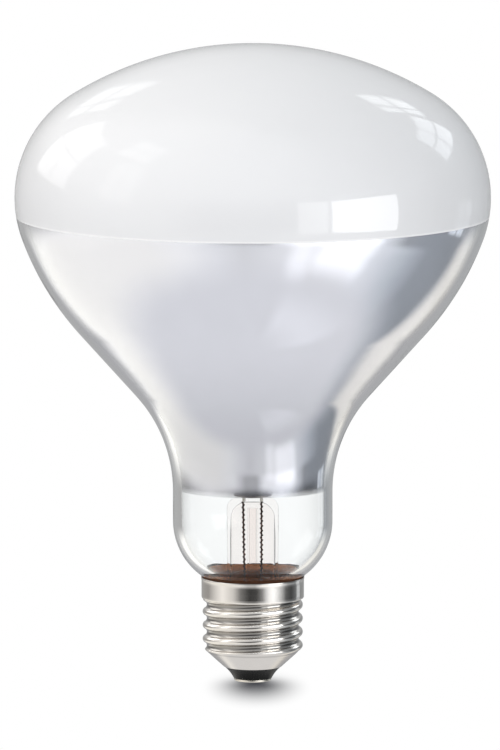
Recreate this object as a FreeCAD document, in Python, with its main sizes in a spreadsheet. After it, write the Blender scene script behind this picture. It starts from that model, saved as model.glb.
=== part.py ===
"""Infrared heat lamp bulb with a rolled screw cap: blown glass reflector bulb, stem mount and cap.

Millimetres. The axis of the lamp is Z, the origin is the tip of the solder on the centre contact,
+Z points to the frosted face. The leads and the filament lie in the XZ plane.
"""
import FreeCAD, Part
import math
import os

import Sketcher
from FreeCAD import Placement, Rotation, Vector

SIZES = {
    # blown bulb, outside, from the face down to the cap
    "bulb_diameter": 125.0,
    "face_radius": 90.7,
    "shoulder_radius": 31.4,
    "shoulder_drop": 10.9,
    "side_radius": 77.5,
    "cone_angle": 41.9,
    "throat_radius": 38.5,
    "neck_diameter": 42.0,
    "neck_length": 7.7,
    "bowl_radius": 18.0,
    "seal_radius": 3.0,
    "face_wall": 0.9,
    "neck_wall": 2.2,
    # mirror inside the cone
    "film_wall": 0.1,
    "film_below_equator": 4.2,
    "film_above_neck": 0.9,
    # glass stem: flare, tube, pinched press
    "stem_diameter": 13.6,
    "stem_wall": 1.1,
    "stem_height": 25.45,
    "flare_radius": 6.0,
    "press_thickness": 6.0,
    "press_height": 2.6,
    "press_ramp": 3.4,
    "press_round": 2.9,
    "press_root": 1.5,
    "exhaust_diameter": 2.8,
    "exhaust_wall": 0.5,
    "exhaust_length": 25.0,
    "exhaust_seat": 1.2,
    # wires and filament
    "lead_spacing": 4.6,
    "outer_lead_diameter": 0.7,
    "inner_lead_diameter": 0.8,
    "lead_joint_depth": 1.2,
    "lead_bend": 4.0,
    "lead_straight": 7.0,
    "tip_straight": 4.0,
    "side_lead_bend": 1.2,
    "side_lead_gap": 0.2,
    "side_lead_cover": 0.7,
    "centre_lead_straight": 8.0,
    "centre_lead_joggle": 7.0,
    "filament_span": 30.0,
    "filament_rise": 36.0,
    "coil_diameter": 1.5,
    "arbor_diameter": 2.6,
    "arbor_foot_diameter": 3.6,
    "button_diameter": 5.0,
    "support_diameter": 0.35,
    "shield_diameter": 10.0,
    "shield_thickness": 0.4,
    "shield_lift": 0.6,
    # screw cap
    "cap_height": 28.0,
    "skirt_diameter": 27.0,
    "skirt_length": 5.7,
    "skirt_round": 0.5,
    "shell_wall": 0.35,
    "thread_diameter": 26.4,
    "root_diameter": 24.2,
    "thread_pitch": 3.62,
    "thread_start": 9.7,
    "cone_top": 8.2,
    "foot_height": 4.2,
    "foot_diameter": 15.4,
    "insulator_top": 6.6,
    "insulator_flange_diameter": 14.9,
    "insulator_tip_diameter": 10.0,
    "insulator_bore": 3.0,
    "contact_diameter": 9.8,
    "contact_thickness": 0.6,
    "contact_round": 0.25,
    "solder_height": 0.4,
    "solder_diameter": 4.2,
    "solder_flat": 2.4,
    # cement
    "cement_drop": 0.5,
    # flat where a domed end meets the axis
    "crown_flat": 1.0,
    # clearances
    "seat_gap": 0.15,
    "fuse_gap": 0.02,
    "hole_gap": 0.05,
    "film_gap": 0.1,
}

# Places that follow from the sizes, each worked out once.
PLACES = {
    "skirt_end": "Sizes.cap_height - Sizes.skirt_length",
    "ledge": "skirt_end + Sizes.shell_wall",
    "tail_end": "ledge + Sizes.outer_lead_diameter + 2 * Sizes.side_lead_gap",
    "seat_radius": "Sizes.skirt_diameter / 2 - Sizes.shell_wall - Sizes.seat_gap",
    "bowl_turn": "acos(1 - (Sizes.neck_diameter / 2 - seat_radius) / Sizes.bowl_radius)",
    "bowl_top": "Sizes.cap_height + Sizes.bowl_radius * sin(bowl_turn)",
    "neck_top": "bowl_top + Sizes.neck_length",
    "tail_radius": "seat_radius - Sizes.seal_radius * (1 - cos(bowl_turn))",
    "cone": "Sizes.cone_angle * 1 deg",
    "wrap": "asin(Sizes.shoulder_drop / Sizes.shoulder_radius)",
    "shoulder_centre": "Sizes.bulb_diameter / 2 - Sizes.shoulder_radius",
    "side_centre": "shoulder_centre - (Sizes.side_radius - Sizes.shoulder_radius) * cos(wrap)",
    "run_length": "(side_centre + Sizes.side_radius * cos(cone) - Sizes.neck_diameter / 2"
                  " - Sizes.throat_radius * (1 - cos(cone))) / sin(cone)",
    "run_top": "neck_top + Sizes.throat_radius * sin(cone) + run_length * cos(cone)",
    "equator": "run_top + Sizes.side_radius * sin(cone)"
               " - (Sizes.side_radius - Sizes.shoulder_radius) * sin(wrap)",
    "press_top": "tail_end + Sizes.stem_height",
    "press_start": "press_top - Sizes.press_height",
    "bore_end": "press_start - Sizes.press_root",
    "lead_joint": "press_top - Sizes.lead_joint_depth",
    "shield_seat": "press_top + Sizes.shield_lift",
    "filament_base": "press_top + Sizes.filament_rise",
    "contact_top": "Sizes.solder_height + Sizes.contact_thickness",
    "skirt_bore": "Sizes.skirt_diameter / 2 - Sizes.shell_wall",
    "cone_slope": "(Sizes.cone_top - Sizes.foot_height)"
                  " / (Sizes.root_diameter / 2 - Sizes.foot_diameter / 2)",
    "foot_bore": "Sizes.foot_diameter / 2 - Sizes.shell_wall * sqrt(1 + 1 / cone_slope ^ 2)",
    "flank_turn": "2 * atan((Sizes.thread_diameter - Sizes.root_diameter) / Sizes.thread_pitch)",
    "flank_radius": "Sizes.thread_pitch / 4 / sin(flank_turn)",
    "thread_bottom": "Sizes.thread_start - Sizes.thread_pitch",
    "thread_rise": "skirt_end - thread_bottom + Sizes.thread_pitch / 2",
    "side_lead_radius": "skirt_bore - Sizes.outer_lead_diameter / 2 - Sizes.hole_gap",
    "side_lead_level": "tail_end - Sizes.side_lead_gap - Sizes.outer_lead_diameter / 2",
    "cement_top": "Sizes.cap_height - Sizes.cement_drop",
    "cement_floor": "side_lead_level + Sizes.side_lead_bend",
    "side_lead_end": "cement_top - Sizes.side_lead_cover",
}

# Angles in degrees for features and placements, in radians for arcs.
FULL_TURN = 360.0
QUARTER_TURN = 90.0
EYE_TURN = 280.0
HALF = math.pi
QUARTER = math.pi / 2
SUPPORT_ANGLES = (-45.0, 0.0, 45.0)

doc = FreeCAD.newDocument("heat_lamp_bulb")


def fill_sheet(name, cells):
    """A sheet with one named cell per row."""
    sheet = doc.addObject("Spreadsheet::Sheet", name)
    for row, (alias, content) in enumerate(cells.items(), start=1):
        sheet.set(f"A{row}", alias)
        sheet.set(f"B{row}", content)
        sheet.setAlias(f"B{row}", alias)
    doc.recompute()
    return sheet


sizes = fill_sheet("Sizes", {alias: str(size) for alias, size in SIZES.items()})
fill_sheet("Places", {alias: "=" + formula for alias, formula in PLACES.items()})


def value(formula):
    """What a formula on the two sheets comes to, as a plain number."""
    result = sizes.evalExpression(formula)
    return getattr(result, "Value", result)


def new_body(label):
    """An empty body whose label names the piece."""
    return doc.addObject("PartDesign::Body", label)


def new_sketch(body, name, role="XZ_Plane", height=None):
    """A sketch on one of the body's own origin planes, lifted along its normal where a height is given."""
    sketch = body.newObject("Sketcher::SketchObject", name)
    plane = next(feature for feature in body.Origin.OriginFeatures if feature.Role == role)
    sketch.AttachmentSupport = [(plane, "")]
    sketch.MapMode = "FlatFace"
    if height is not None:
        sketch.setExpression("AttachmentOffset.Base.z", height)
    return sketch


class Outline:
    """A run of lines and arcs in a sketch, drawn in order, each edge joined to the one before."""

    def __init__(self, sketch):
        self.sketch = sketch
        self.edges = []
        # as the sketch numbers them: its level axis, whose first point is the origin, and its upright axis
        self.origin_index = (-1, 1)
        self.level_index = -1
        self.upright_index = -2

    def line(self, start, end, tangent=False):
        edge = Part.LineSegment(Vector(*start, 0), Vector(*end, 0))
        return self.join(self.sketch.addGeometry(edge, False), 1, 2, tangent)

    def arc(self, centre, radius, start_angle, end_angle, tangent=False):
        """Angles in radians. An arc that runs clockwise ends at a smaller angle than it starts."""
        circle = Part.Circle(Vector(*centre, 0), Vector(0, 0, 1), radius)
        low, high = sorted((start_angle, end_angle))
        index = self.sketch.addGeometry(Part.ArcOfCircle(circle, low, high), False)
        first, last = (1, 2) if start_angle < end_angle else (2, 1)
        return self.join(index, first, last, tangent)

    def join(self, index, first, last, tangent):
        edge = (index, first, last)
        if self.edges:
            self.meet(self.edges[-1], edge, tangent)
        self.edges.append(edge)
        return edge

    def meet(self, edge, following, tangent=False):
        kind = "Tangent" if tangent else "Coincident"
        self.sketch.addConstraint(Sketcher.Constraint(kind, edge[0], edge[2], following[0], following[1]))

    def close(self, tangent=False):
        self.meet(self.edges[-1], self.edges[0], tangent)

    def rule(self, kind, *references):
        self.sketch.addConstraint(Sketcher.Constraint(kind, *references))

    def size(self, kind, *references):
        """The last reference is the formula that the size follows."""
        formula = references[-1]
        index = self.sketch.addConstraint(Sketcher.Constraint(kind, *references[:-1], value(formula)))
        self.sketch.setExpression(f"Constraints[{index}]", formula)

    def place(self, edge, point, across=None, up=None):
        """Fixes a point of an edge by its distances from the origin."""
        if across is not None:
            self.size("DistanceX", *self.origin_index, edge[0], point, across)
        if up is not None:
            self.size("DistanceY", *self.origin_index, edge[0], point, up)

    def on_axis(self, edge, point):
        self.rule("PointOnObject", edge[0], point, self.upright_index)


def polygon(sketch, corners):
    """A closed outline of straight edges through corners given as pairs of formulas."""
    outline = Outline(sketch)
    points = [(value(across), value(up)) for across, up in corners]
    for start, end in zip(points, points[1:] + points[:1]):
        outline.line(start, end)
    outline.close()
    for edge, (across, up) in zip(outline.edges, corners):
        if across == "0":
            outline.on_axis(edge, edge[1])
            outline.place(edge, edge[1], up=up)
        else:
            outline.place(edge, edge[1], across, up)


def circles(sketch, rounds):
    """Circles on the sketch's X axis, given as pairs of formulas: place and radius."""
    outline = Outline(sketch)
    for across, radius in rounds:
        circle = Part.Circle(Vector(value(across), 0, 0), Vector(0, 0, 1), value(radius))
        index = sketch.addGeometry(circle, False)
        outline.size("Radius", index, radius)
        if across == "0":
            outline.rule("Coincident", index, 3, *outline.origin_index)
        else:
            outline.rule("PointOnObject", index, 3, outline.level_index)
            outline.place((index, 1, 1), 3, across)


def turn(body, sketch, name, kind="PartDesign::Revolution"):
    """Turns a sketch about the lamp's axis, to add or to cut."""
    feature = body.newObject(kind, name)
    feature.Profile = sketch
    feature.ReferenceAxis = (sketch, ["V_Axis"])
    feature.Angle = FULL_TURN


def cut_through(body, sketch, name, both_ways=True, upwards=True):
    """Cuts a sketch through the whole body, one way or both."""
    feature = body.newObject("PartDesign::Pocket", name)
    feature.Profile = sketch
    feature.Type = "ThroughAll"
    if both_ways:
        feature.SideType = "Symmetric"
    else:
        feature.Reversed = upwards


class SideForm:
    """The shoulder, side and throat of the bulb, inset from its outer form by two walls.

    The wall thickens along the side arc, from the inset at the shoulder to the inset at the neck.
    """

    def __init__(self, face_inset, neck_inset):
        self.shoulder_radius = f"(Sizes.shoulder_radius - {face_inset})"
        self.throat_radius = f"(Sizes.throat_radius + {neck_inset})"
        self.shoulder_drop = f"{self.shoulder_radius} * Sizes.shoulder_drop / Sizes.shoulder_radius"
        self.throat_centre = "Sizes.neck_diameter / 2 + Sizes.throat_radius"
        self.wrap, self.cone = math.radians(value("Places.wrap")), math.radians(value("Places.cone"))
        along_wrap = Vector(math.cos(self.wrap), -math.sin(self.wrap), 0)
        along_cone = Vector(math.cos(self.cone), -math.sin(self.cone), 0)
        lean = math.cos(self.cone - self.wrap)
        thickening = (value(neck_inset) - value(face_inset) * lean) / (1 - lean)
        self.side_radius = value("Sizes.side_radius") - thickening
        self.shoulder = Vector(value("Places.shoulder_centre"), value("Places.equator"), 0)
        self.side = self.shoulder + (value(self.shoulder_radius) - self.side_radius) * along_wrap
        self.throat = Vector(value(self.throat_centre), value("Places.neck_top"), 0)
        self.run_start = self.side + self.side_radius * along_cone
        self.run_end = self.throat - value(self.throat_radius) * along_cone

    def draw(self, outline, start_angle, end_angle, tangent):
        """The arcs and the straight run of the cone, from an angle on the shoulder to one on the throat."""
        rim = outline.arc(self.shoulder[:2], value(self.shoulder_radius), start_angle, -self.wrap, tangent)
        flank = outline.arc(self.side[:2], self.side_radius, -self.wrap, -self.cone, tangent=True)
        run = outline.line(self.run_start[:2], self.run_end[:2], tangent=True)
        throat = outline.arc(
            self.throat[:2], value(self.throat_radius), HALF - self.cone, end_angle, tangent=True)
        outline.place(rim, 3, "Places.shoulder_centre")
        outline.size("Radius", rim[0], self.shoulder_radius)
        outline.size("DistanceY", rim[0], rim[2], rim[0], 3, self.shoulder_drop)
        outline.size("Angle", run[0], "270 deg - Places.cone")
        outline.size("Radius", throat[0], self.throat_radius)
        return rim, flank, throat


def bulb_wall(outline, face_inset, neck_inset, is_outside):
    """One side of the glass, from the apex down to the end of the tail, inset from the outer form."""
    form = SideForm(face_inset, neck_inset)
    face_radius = f"(Sizes.face_radius - {face_inset})"
    bowl_radius = f"(Sizes.bowl_radius - {neck_inset})"
    seal_radius = f"(Sizes.seal_radius + {neck_inset})"
    neck_radius = f"(Sizes.neck_diameter / 2 - {neck_inset})"
    tail_radius = f"(Places.tail_radius - {neck_inset})"
    turn_down = math.radians(value("Places.bowl_turn"))
    face_reach = value("Sizes.face_radius - Sizes.shoulder_radius")
    face = Vector(0, form.shoulder.y - math.sqrt(face_reach ** 2 - form.shoulder.x ** 2), 0)
    lean = math.atan2(form.shoulder.y - face.y, form.shoulder.x)
    bowl = Vector(value("Sizes.neck_diameter / 2 - Sizes.bowl_radius"), value("Places.bowl_top"), 0)
    reach = value("Sizes.bowl_radius + Sizes.seal_radius")
    seal = bowl + reach * Vector(math.cos(turn_down), -math.sin(turn_down), 0)
    neck_across, tail_across = value(neck_radius), value(tail_radius)
    flat = value("Sizes.crown_flat / 2")
    crown_angle = math.acos(flat / value(face_radius))
    apex = face.y + value(face_radius) * math.sin(crown_angle)

    crown = outline.line((0, apex), (flat, apex))
    dome = outline.arc(face[:2], value(face_radius), crown_angle, lean)
    rim, flank, _ = form.draw(outline, lean, HALF, tangent=True)
    neck = outline.line((neck_across, form.throat.y), (neck_across, bowl.y), tangent=True)
    bowl_arc = outline.arc(bowl[:2], value(bowl_radius), 0, -turn_down, tangent=True)
    seal_arc = outline.arc(seal[:2], value(seal_radius), HALF - turn_down, HALF, tangent=True)
    tail = outline.line((tail_across, seal.y), (tail_across, value("Places.tail_end")), tangent=True)

    outline.on_axis(crown, crown[1])
    outline.rule("Horizontal", crown[0])
    outline.place(crown, crown[2], "Sizes.crown_flat / 2")
    outline.on_axis(dome, 3)
    outline.size("Radius", dome[0], face_radius)
    if is_outside:
        outline.size("Radius", flank[0], "Sizes.side_radius")
    else:
        outline.place(rim, 3, up="Places.equator")
    outline.rule("Vertical", neck[0])
    outline.place(neck, neck[1], neck_radius, "Places.neck_top")
    outline.place(neck, neck[2], up="Places.bowl_top")
    outline.size("Radius", bowl_arc[0], bowl_radius)
    outline.size("Radius", seal_arc[0], seal_radius)
    outline.rule("Vertical", tail[0])
    outline.place(tail, tail[2], tail_radius, "Places.tail_end")
    return crown, tail


def bridge(sketch, edge, point, other, other_point):
    """A straight edge between the ends of two edges that are drawn already."""
    start, end = sketch.getPoint(edge[0], point), sketch.getPoint(other[0], other_point)
    outline = Outline(sketch)
    link = outline.line((start.x, start.y), (end.x, end.y))
    outline.rule("Coincident", link[0], link[1], edge[0], point)
    outline.rule("Coincident", link[0], link[2], other[0], other_point)


def glass_bulb():
    """The blown bulb: domed face, shoulder, cone, neck, and the bowl that turns into the cap."""
    body = new_body("glass_bulb")
    sketch = new_sketch(body, "bulb_section")
    outer_crown, outer_tail = bulb_wall(Outline(sketch), "0", "0", True)
    inner_crown, inner_tail = bulb_wall(Outline(sketch), "Sizes.face_wall", "Sizes.neck_wall", False)
    bridge(sketch, inner_tail, inner_tail[2], outer_tail, outer_tail[2])
    bridge(sketch, inner_crown, inner_crown[1], outer_crown, outer_crown[1])
    turn(body, sketch, "blown_wall")
    return body


def mirror_side(outline, inset):
    """One side of the mirror, from the shoulder down to the throat, inset from the inside of the glass."""
    form = SideForm(f"(Sizes.face_wall + {inset})", f"(Sizes.neck_wall + {inset})")
    start_angle = -math.asin(value("Sizes.film_below_equator") / value(form.shoulder_radius))
    end_angle = HALF - math.asin(value("Sizes.film_above_neck") / value(form.throat_radius))
    rim, _, throat = form.draw(outline, start_angle, end_angle, tangent=False)
    outline.place(rim, 3, up="Places.equator")
    outline.place(rim, rim[1], up="Places.equator - Sizes.film_below_equator")
    outline.place(throat, 3, form.throat_centre, "Places.neck_top")
    outline.place(throat, throat[2], up="Places.neck_top + Sizes.film_above_neck")
    return rim, throat


def reflector_film():
    """The mirror on the inside of the cone, as a thin skin beside the glass."""
    body = new_body("reflector_film")
    sketch = new_sketch(body, "film_section")
    glass_rim, glass_throat = mirror_side(Outline(sketch), "Sizes.film_gap")
    open_rim, open_throat = mirror_side(Outline(sketch), "Sizes.film_gap + Sizes.film_wall")
    bridge(sketch, glass_rim, glass_rim[1], open_rim, open_rim[1])
    bridge(sketch, glass_throat, glass_throat[2], open_throat, open_throat[2])
    turn(body, sketch, "mirror_skin")
    return body


def stem_tube():
    """The glass stem: a flare fused to the bulb's tail, a tube, and a press pinched flat round the leads."""
    body = new_body("stem_tube")
    sketch = new_sketch(body, "stem_section")
    radius, bore = "(Sizes.stem_diameter / 2)", "(Sizes.stem_diameter / 2 - Sizes.stem_wall)"
    lip_radius = "(Places.tail_radius - Sizes.neck_wall - Sizes.fuse_gap)"
    shoulder = "(Places.press_top - Sizes.press_round)"
    flat = "(Sizes.stem_diameter / 2 - Sizes.press_round)"
    flare = value("Sizes.flare_radius")
    wall = value("Sizes.stem_wall")
    spread = math.acos(1 - (value(lip_radius) - value(radius)) / flare)
    lip = value("Places.tail_end")
    centre = (value(radius) + flare, lip + flare * math.sin(spread))
    inner_spread = math.asin(flare * math.sin(spread) / (flare + wall))
    inner_lip = (centre[0] - (flare + wall) * math.cos(inner_spread), lip)
    dome_centre = (0, value("Places.bore_end") - value(bore))
    top = value("Places.press_top")

    outline = Outline(sketch)
    lip_face = outline.line(inner_lip, (value(lip_radius), lip))
    flare_outside = outline.arc(centre, flare, HALF + spread, HALF)
    wall_outside = outline.line((value(radius), centre[1]), (value(radius), value(shoulder)), tangent=True)
    rounding = outline.arc(
        (value(flat), value(shoulder)), value("Sizes.press_round"), 0, QUARTER, tangent=True)
    top_face = outline.line((value(flat), top), (0, top), tangent=True)
    axis = outline.line((0, top), (0, value("Places.bore_end")))
    dome = outline.arc(dome_centre, value(bore), QUARTER, 0)
    wall_inside = outline.line((value(bore), dome_centre[1]), (value(bore), centre[1]), tangent=True)
    flare_inside = outline.arc(centre, flare + wall, HALF, HALF + inner_spread, tangent=True)
    outline.close()

    outline.rule("Horizontal", lip_face[0])
    outline.place(lip_face, lip_face[2], lip_radius, "Places.tail_end")
    outline.size("Radius", flare_outside[0], "Sizes.flare_radius")
    outline.rule("Vertical", wall_outside[0])
    outline.place(wall_outside, wall_outside[2], radius)
    outline.size("Radius", rounding[0], "Sizes.press_round")
    outline.rule("Horizontal", top_face[0])
    outline.on_axis(top_face, top_face[2])
    outline.place(top_face, top_face[2], up="Places.press_top")
    outline.on_axis(axis, axis[2])
    outline.place(axis, axis[2], up="Places.bore_end")
    outline.on_axis(dome, 3)
    outline.size("Radius", dome[0], bore)
    outline.rule("Vertical", wall_inside[0])
    outline.rule("Coincident", flare_inside[0], 3, flare_outside[0], 3)
    turn(body, sketch, "drawn_tube")

    pinch = new_sketch(body, "pinch_section", "YZ_Plane")
    beyond, above = "Sizes.stem_diameter", "Places.press_top + Sizes.press_round"
    face, foot = "Sizes.press_thickness / 2", "Places.press_start - Sizes.press_ramp"
    for side in ("", "-1 * "):
        polygon(pinch, [
            (f"{side}({face})", above),
            (f"{side}({face})", "Places.press_start"),
            (f"{side}{radius}", foot),
            (f"{side}{beyond}", foot),
            (f"{side}{beyond}", above),
        ])
    cut_through(body, pinch, "press_faces")

    socket = new_sketch(body, "exhaust_socket_section")
    socket_radius = "Sizes.exhaust_diameter / 2 + Sizes.fuse_gap"
    polygon(socket, [
        ("0", "Places.bore_end - Sizes.exhaust_diameter"),
        (socket_radius, "Places.bore_end - Sizes.exhaust_diameter"),
        (socket_radius, "Places.bore_end + Sizes.exhaust_seat"),
        ("0", "Places.bore_end + Sizes.exhaust_seat"),
    ])
    turn(body, socket, "exhaust_socket", "PartDesign::Groove")

    for name, diameter, upwards in (("inner", "Sizes.inner_lead_diameter", True),
                                    ("outer", "Sizes.outer_lead_diameter", False)):
        holes = new_sketch(body, f"{name}_lead_holes", "XY_Plane", "Places.lead_joint")
        hole_radius = f"{diameter} / 2 + Sizes.fuse_gap"
        circles(holes, [
            ("Sizes.lead_spacing / 2", hole_radius),
            ("-1 * Sizes.lead_spacing / 2", hole_radius),
        ])
        cut_through(body, holes, f"{name}_lead_bores", both_ways=False, upwards=upwards)
    return body


def exhaust_tube():
    """The thin tube through which the bulb was pumped, seated in the press, its lower end melted shut."""
    body = new_body("exhaust_tube")
    sketch = new_sketch(body, "exhaust_section")
    radius, bore = "(Sizes.exhaust_diameter / 2)", "(Sizes.exhaust_diameter / 2 - Sizes.exhaust_wall)"
    top = "(Places.bore_end + Sizes.exhaust_seat - Sizes.fuse_gap)"
    tip = f"({top} - Sizes.exhaust_length)"
    flat = value("Sizes.crown_flat / 2")
    low, high = value(tip), value(f"{tip} + Sizes.exhaust_wall")
    tip_centre = (0, low + math.sqrt(value(radius) ** 2 - flat ** 2))
    bore_angle = math.acos(flat / value(bore))

    outline = Outline(sketch)
    tip_face = outline.line((0, low), (flat, low))
    tip_outside = outline.arc(tip_centre, value(radius), -math.acos(flat / value(radius)), 0)
    wall_outside = outline.line((value(radius), tip_centre[1]), (value(radius), value(top)), tangent=True)
    mouth = outline.line((value(radius), value(top)), (value(bore), value(top)))
    wall_inside = outline.line((value(bore), value(top)), (value(bore), tip_centre[1]))
    tip_inside = outline.arc((0, tip_centre[1]), value(bore), 0, -bore_angle, tangent=True)
    floor = outline.line((flat, high), (0, high))
    outline.line((0, high), (0, low))
    outline.close()

    outline.on_axis(tip_face, tip_face[1])
    outline.rule("Horizontal", tip_face[0])
    outline.place(tip_face, tip_face[2], "Sizes.crown_flat / 2", tip)
    outline.on_axis(tip_outside, 3)
    outline.size("Radius", tip_outside[0], radius)
    outline.rule("Vertical", wall_outside[0])
    outline.rule("Horizontal", mouth[0])
    outline.place(mouth, mouth[1], up=top)
    outline.rule("Vertical", wall_inside[0])
    outline.rule("Coincident", tip_inside[0], 3, tip_outside[0], 3)
    outline.size("Radius", tip_inside[0], bore)
    outline.rule("Horizontal", floor[0])
    outline.place(floor, floor[1], "Sizes.crown_flat / 2")
    outline.on_axis(floor, floor[2])
    turn(body, sketch, "drawn_tube")
    return body


def arbor_rod():
    """The glass rod on the press, with a foot under the heat shield and a button that holds the supports."""
    body = new_body("arbor_rod")
    sketch = new_sketch(body, "arbor_section")
    rod, foot = "Sizes.arbor_diameter / 2", "Sizes.arbor_foot_diameter / 2"
    button = value("Sizes.button_diameter / 2")
    centre = (0, value("Places.filament_base"))
    neck_angle = -math.acos(value(rod) / button)
    base, seat = value("Places.press_top"), value("Places.shield_seat")
    flat = value("Sizes.crown_flat / 2")
    crown_angle = math.acos(flat / button)
    top = centre[1] + button * math.sin(crown_angle)

    outline = Outline(sketch)
    base_face = outline.line((0, base), (value(foot), base))
    foot_wall = outline.line((value(foot), base), (value(foot), seat))
    foot_face = outline.line((value(foot), seat), (value(rod), seat))
    rod_wall = outline.line((value(rod), seat), (value(rod), centre[1] + button * math.sin(neck_angle)))
    head = outline.arc(centre, button, neck_angle, crown_angle)
    crown = outline.line((flat, top), (0, top))
    outline.line((0, top), (0, base))
    outline.close()

    outline.on_axis(base_face, base_face[1])
    outline.place(base_face, base_face[1], up="Places.press_top")
    outline.rule("Horizontal", base_face[0])
    outline.rule("Vertical", foot_wall[0])
    outline.place(foot_wall, foot_wall[2], foot, "Places.shield_seat")
    outline.rule("Horizontal", foot_face[0])
    outline.place(rod_wall, rod_wall[1], rod)
    outline.rule("Vertical", rod_wall[0])
    outline.on_axis(head, 3)
    outline.place(head, 3, up="Places.filament_base")
    outline.size("Radius", head[0], "Sizes.button_diameter / 2")
    outline.place(crown, crown[1], "Sizes.crown_flat / 2")
    outline.rule("Horizontal", crown[0])
    outline.on_axis(crown, crown[2])
    turn(body, sketch, "drawn_rod")
    return body


def sweep_wire(body, route, diameter, across, height):
    """Sweeps a round wire along a route that starts upright at a place on the X axis."""
    section = new_sketch(body, f"{body.Name}_section", "XY_Plane", height)
    circles(section, [(across, f"{diameter} / 2")])
    wire = body.newObject("PartDesign::AdditivePipe", f"{body.Name}_wire")
    wire.Profile = section
    wire.Spine = (route.sketch, [f"Edge{number + 1}" for number in range(len(route.edges))])
    return body


def joggle(sketch, start, low_bend, high_bend, end, bend):
    """A route that rises straight, leans to one side and rises straight again.

    start and end are pairs of formulas, the bends are the heights where the straight ends and starts again.
    """
    (x_start, y_start), (x_end, y_end) = [(value(across), value(up)) for across, up in (start, end)]
    side = math.copysign(1, x_end - x_start)
    radius, low, high = value(bend), value(low_bend), value(high_bend)
    shift, rise = abs(x_end - x_start) - 2 * radius, high - low
    lean = math.atan2(shift, rise) + math.asin(2 * radius / math.hypot(shift, rise))
    leave = (x_start + side * radius * (1 - math.cos(lean)), low + radius * math.sin(lean))
    arrive = (x_end - side * radius * (1 - math.cos(lean)), high - radius * math.sin(lean))
    low_centre, high_centre = (x_start + side * radius, low), (x_end - side * radius, high)

    route = Outline(sketch)
    foot = route.line((x_start, y_start), (x_start, low))
    if side > 0:
        low_arc = route.arc(low_centre, radius, HALF, HALF - lean, tangent=True)
    else:
        low_arc = route.arc(low_centre, radius, 0, lean, tangent=True)
    route.line(leave, arrive, tangent=True)
    if side > 0:
        high_arc = route.arc(high_centre, radius, -lean, 0, tangent=True)
    else:
        high_arc = route.arc(high_centre, radius, HALF + lean, HALF, tangent=True)
    tip = route.line((x_end, high), (x_end, y_end), tangent=True)

    route.rule("Vertical", foot[0])
    if start[0] == "0":
        route.on_axis(foot, foot[1])
        route.place(foot, foot[1], up=start[1])
    else:
        route.place(foot, foot[1], *start)
    route.place(foot, foot[2], up=low_bend)
    route.size("Radius", low_arc[0], bend)
    route.size("Radius", high_arc[0], bend)
    route.rule("Vertical", tip[0])
    route.place(tip, tip[1], up=high_bend)
    route.place(tip, tip[2], *end)
    return route


def inner_lead(label, side):
    """A stiff wire from the joint in the press up and outwards to one end of the filament."""
    body = new_body(label)
    start = (f"{side}Sizes.lead_spacing / 2", "Places.lead_joint")
    end = (f"{side}Sizes.filament_span / 2", "Places.filament_base")
    route = joggle(
        new_sketch(body, f"{label}_route"), start,
        "Places.shield_seat + Sizes.lead_straight", "Places.filament_base - Sizes.tip_straight", end,
        "Sizes.lead_bend")
    return sweep_wire(body, route, "Sizes.inner_lead_diameter", *start)


def left_outer_lead():
    """The lead that runs down the stem and through the insulator to the solder on the centre contact."""
    body = new_body("left_outer_lead")
    start = ("0", "Sizes.solder_height")
    end = ("-1 * Sizes.lead_spacing / 2", "Places.lead_joint")
    low_bend = "Sizes.solder_height + Sizes.centre_lead_straight"
    route = joggle(
        new_sketch(body, "left_outer_lead_route"), start,
        low_bend, f"{low_bend} + Sizes.centre_lead_joggle", end, "Sizes.side_lead_bend")
    return sweep_wire(body, route, "Sizes.outer_lead_diameter", *start)


def right_outer_lead():
    """The lead that runs down the stem, under its flare, and up between the cement and the shell."""
    body = new_body("right_outer_lead")
    start = ("Sizes.lead_spacing / 2", "Places.lead_joint")
    across, outside = value(start[0]), value("Places.side_lead_radius")
    low, bend = value("Places.side_lead_level"), value("Sizes.side_lead_bend")

    route = Outline(new_sketch(body, "right_outer_lead_route"))
    fall = route.line((across, value(start[1])), (across, low + bend))
    inner_arc = route.arc((across + bend, low + bend), bend, HALF, HALF + QUARTER, tangent=True)
    under = route.line((across + bend, low), (outside - bend, low), tangent=True)
    outer_arc = route.arc((outside - bend, low + bend), bend, -QUARTER, 0, tangent=True)
    rise = route.line((outside, low + bend), (outside, value("Places.side_lead_end")), tangent=True)

    route.rule("Vertical", fall[0])
    route.place(fall, fall[1], *start)
    route.size("Radius", inner_arc[0], "Sizes.side_lead_bend")
    route.rule("Horizontal", under[0])
    route.place(under, under[1], up="Places.side_lead_level")
    route.size("Radius", outer_arc[0], "Sizes.side_lead_bend")
    route.rule("Vertical", rise[0])
    route.place(rise, rise[2], "Places.side_lead_radius", "Places.side_lead_end")
    return sweep_wire(body, route, "Sizes.outer_lead_diameter", *start)


def filament():
    """The coiled filament as the round bar that its turns fill, arched from lead to lead."""
    arch = doc.addObject("Part::Torus", "filament")
    arch.setExpression("Radius1", "Sizes.filament_span / 2")
    arch.setExpression("Radius2", "Sizes.coil_diameter / 2")
    arch.Angle3 = FULL_TURN / 2
    arch.Placement = Placement(Vector(), Rotation(Vector(1, 0, 0), QUARTER_TURN))
    arch.setExpression("Placement.Base.z", "Places.filament_base")
    return arch


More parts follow.
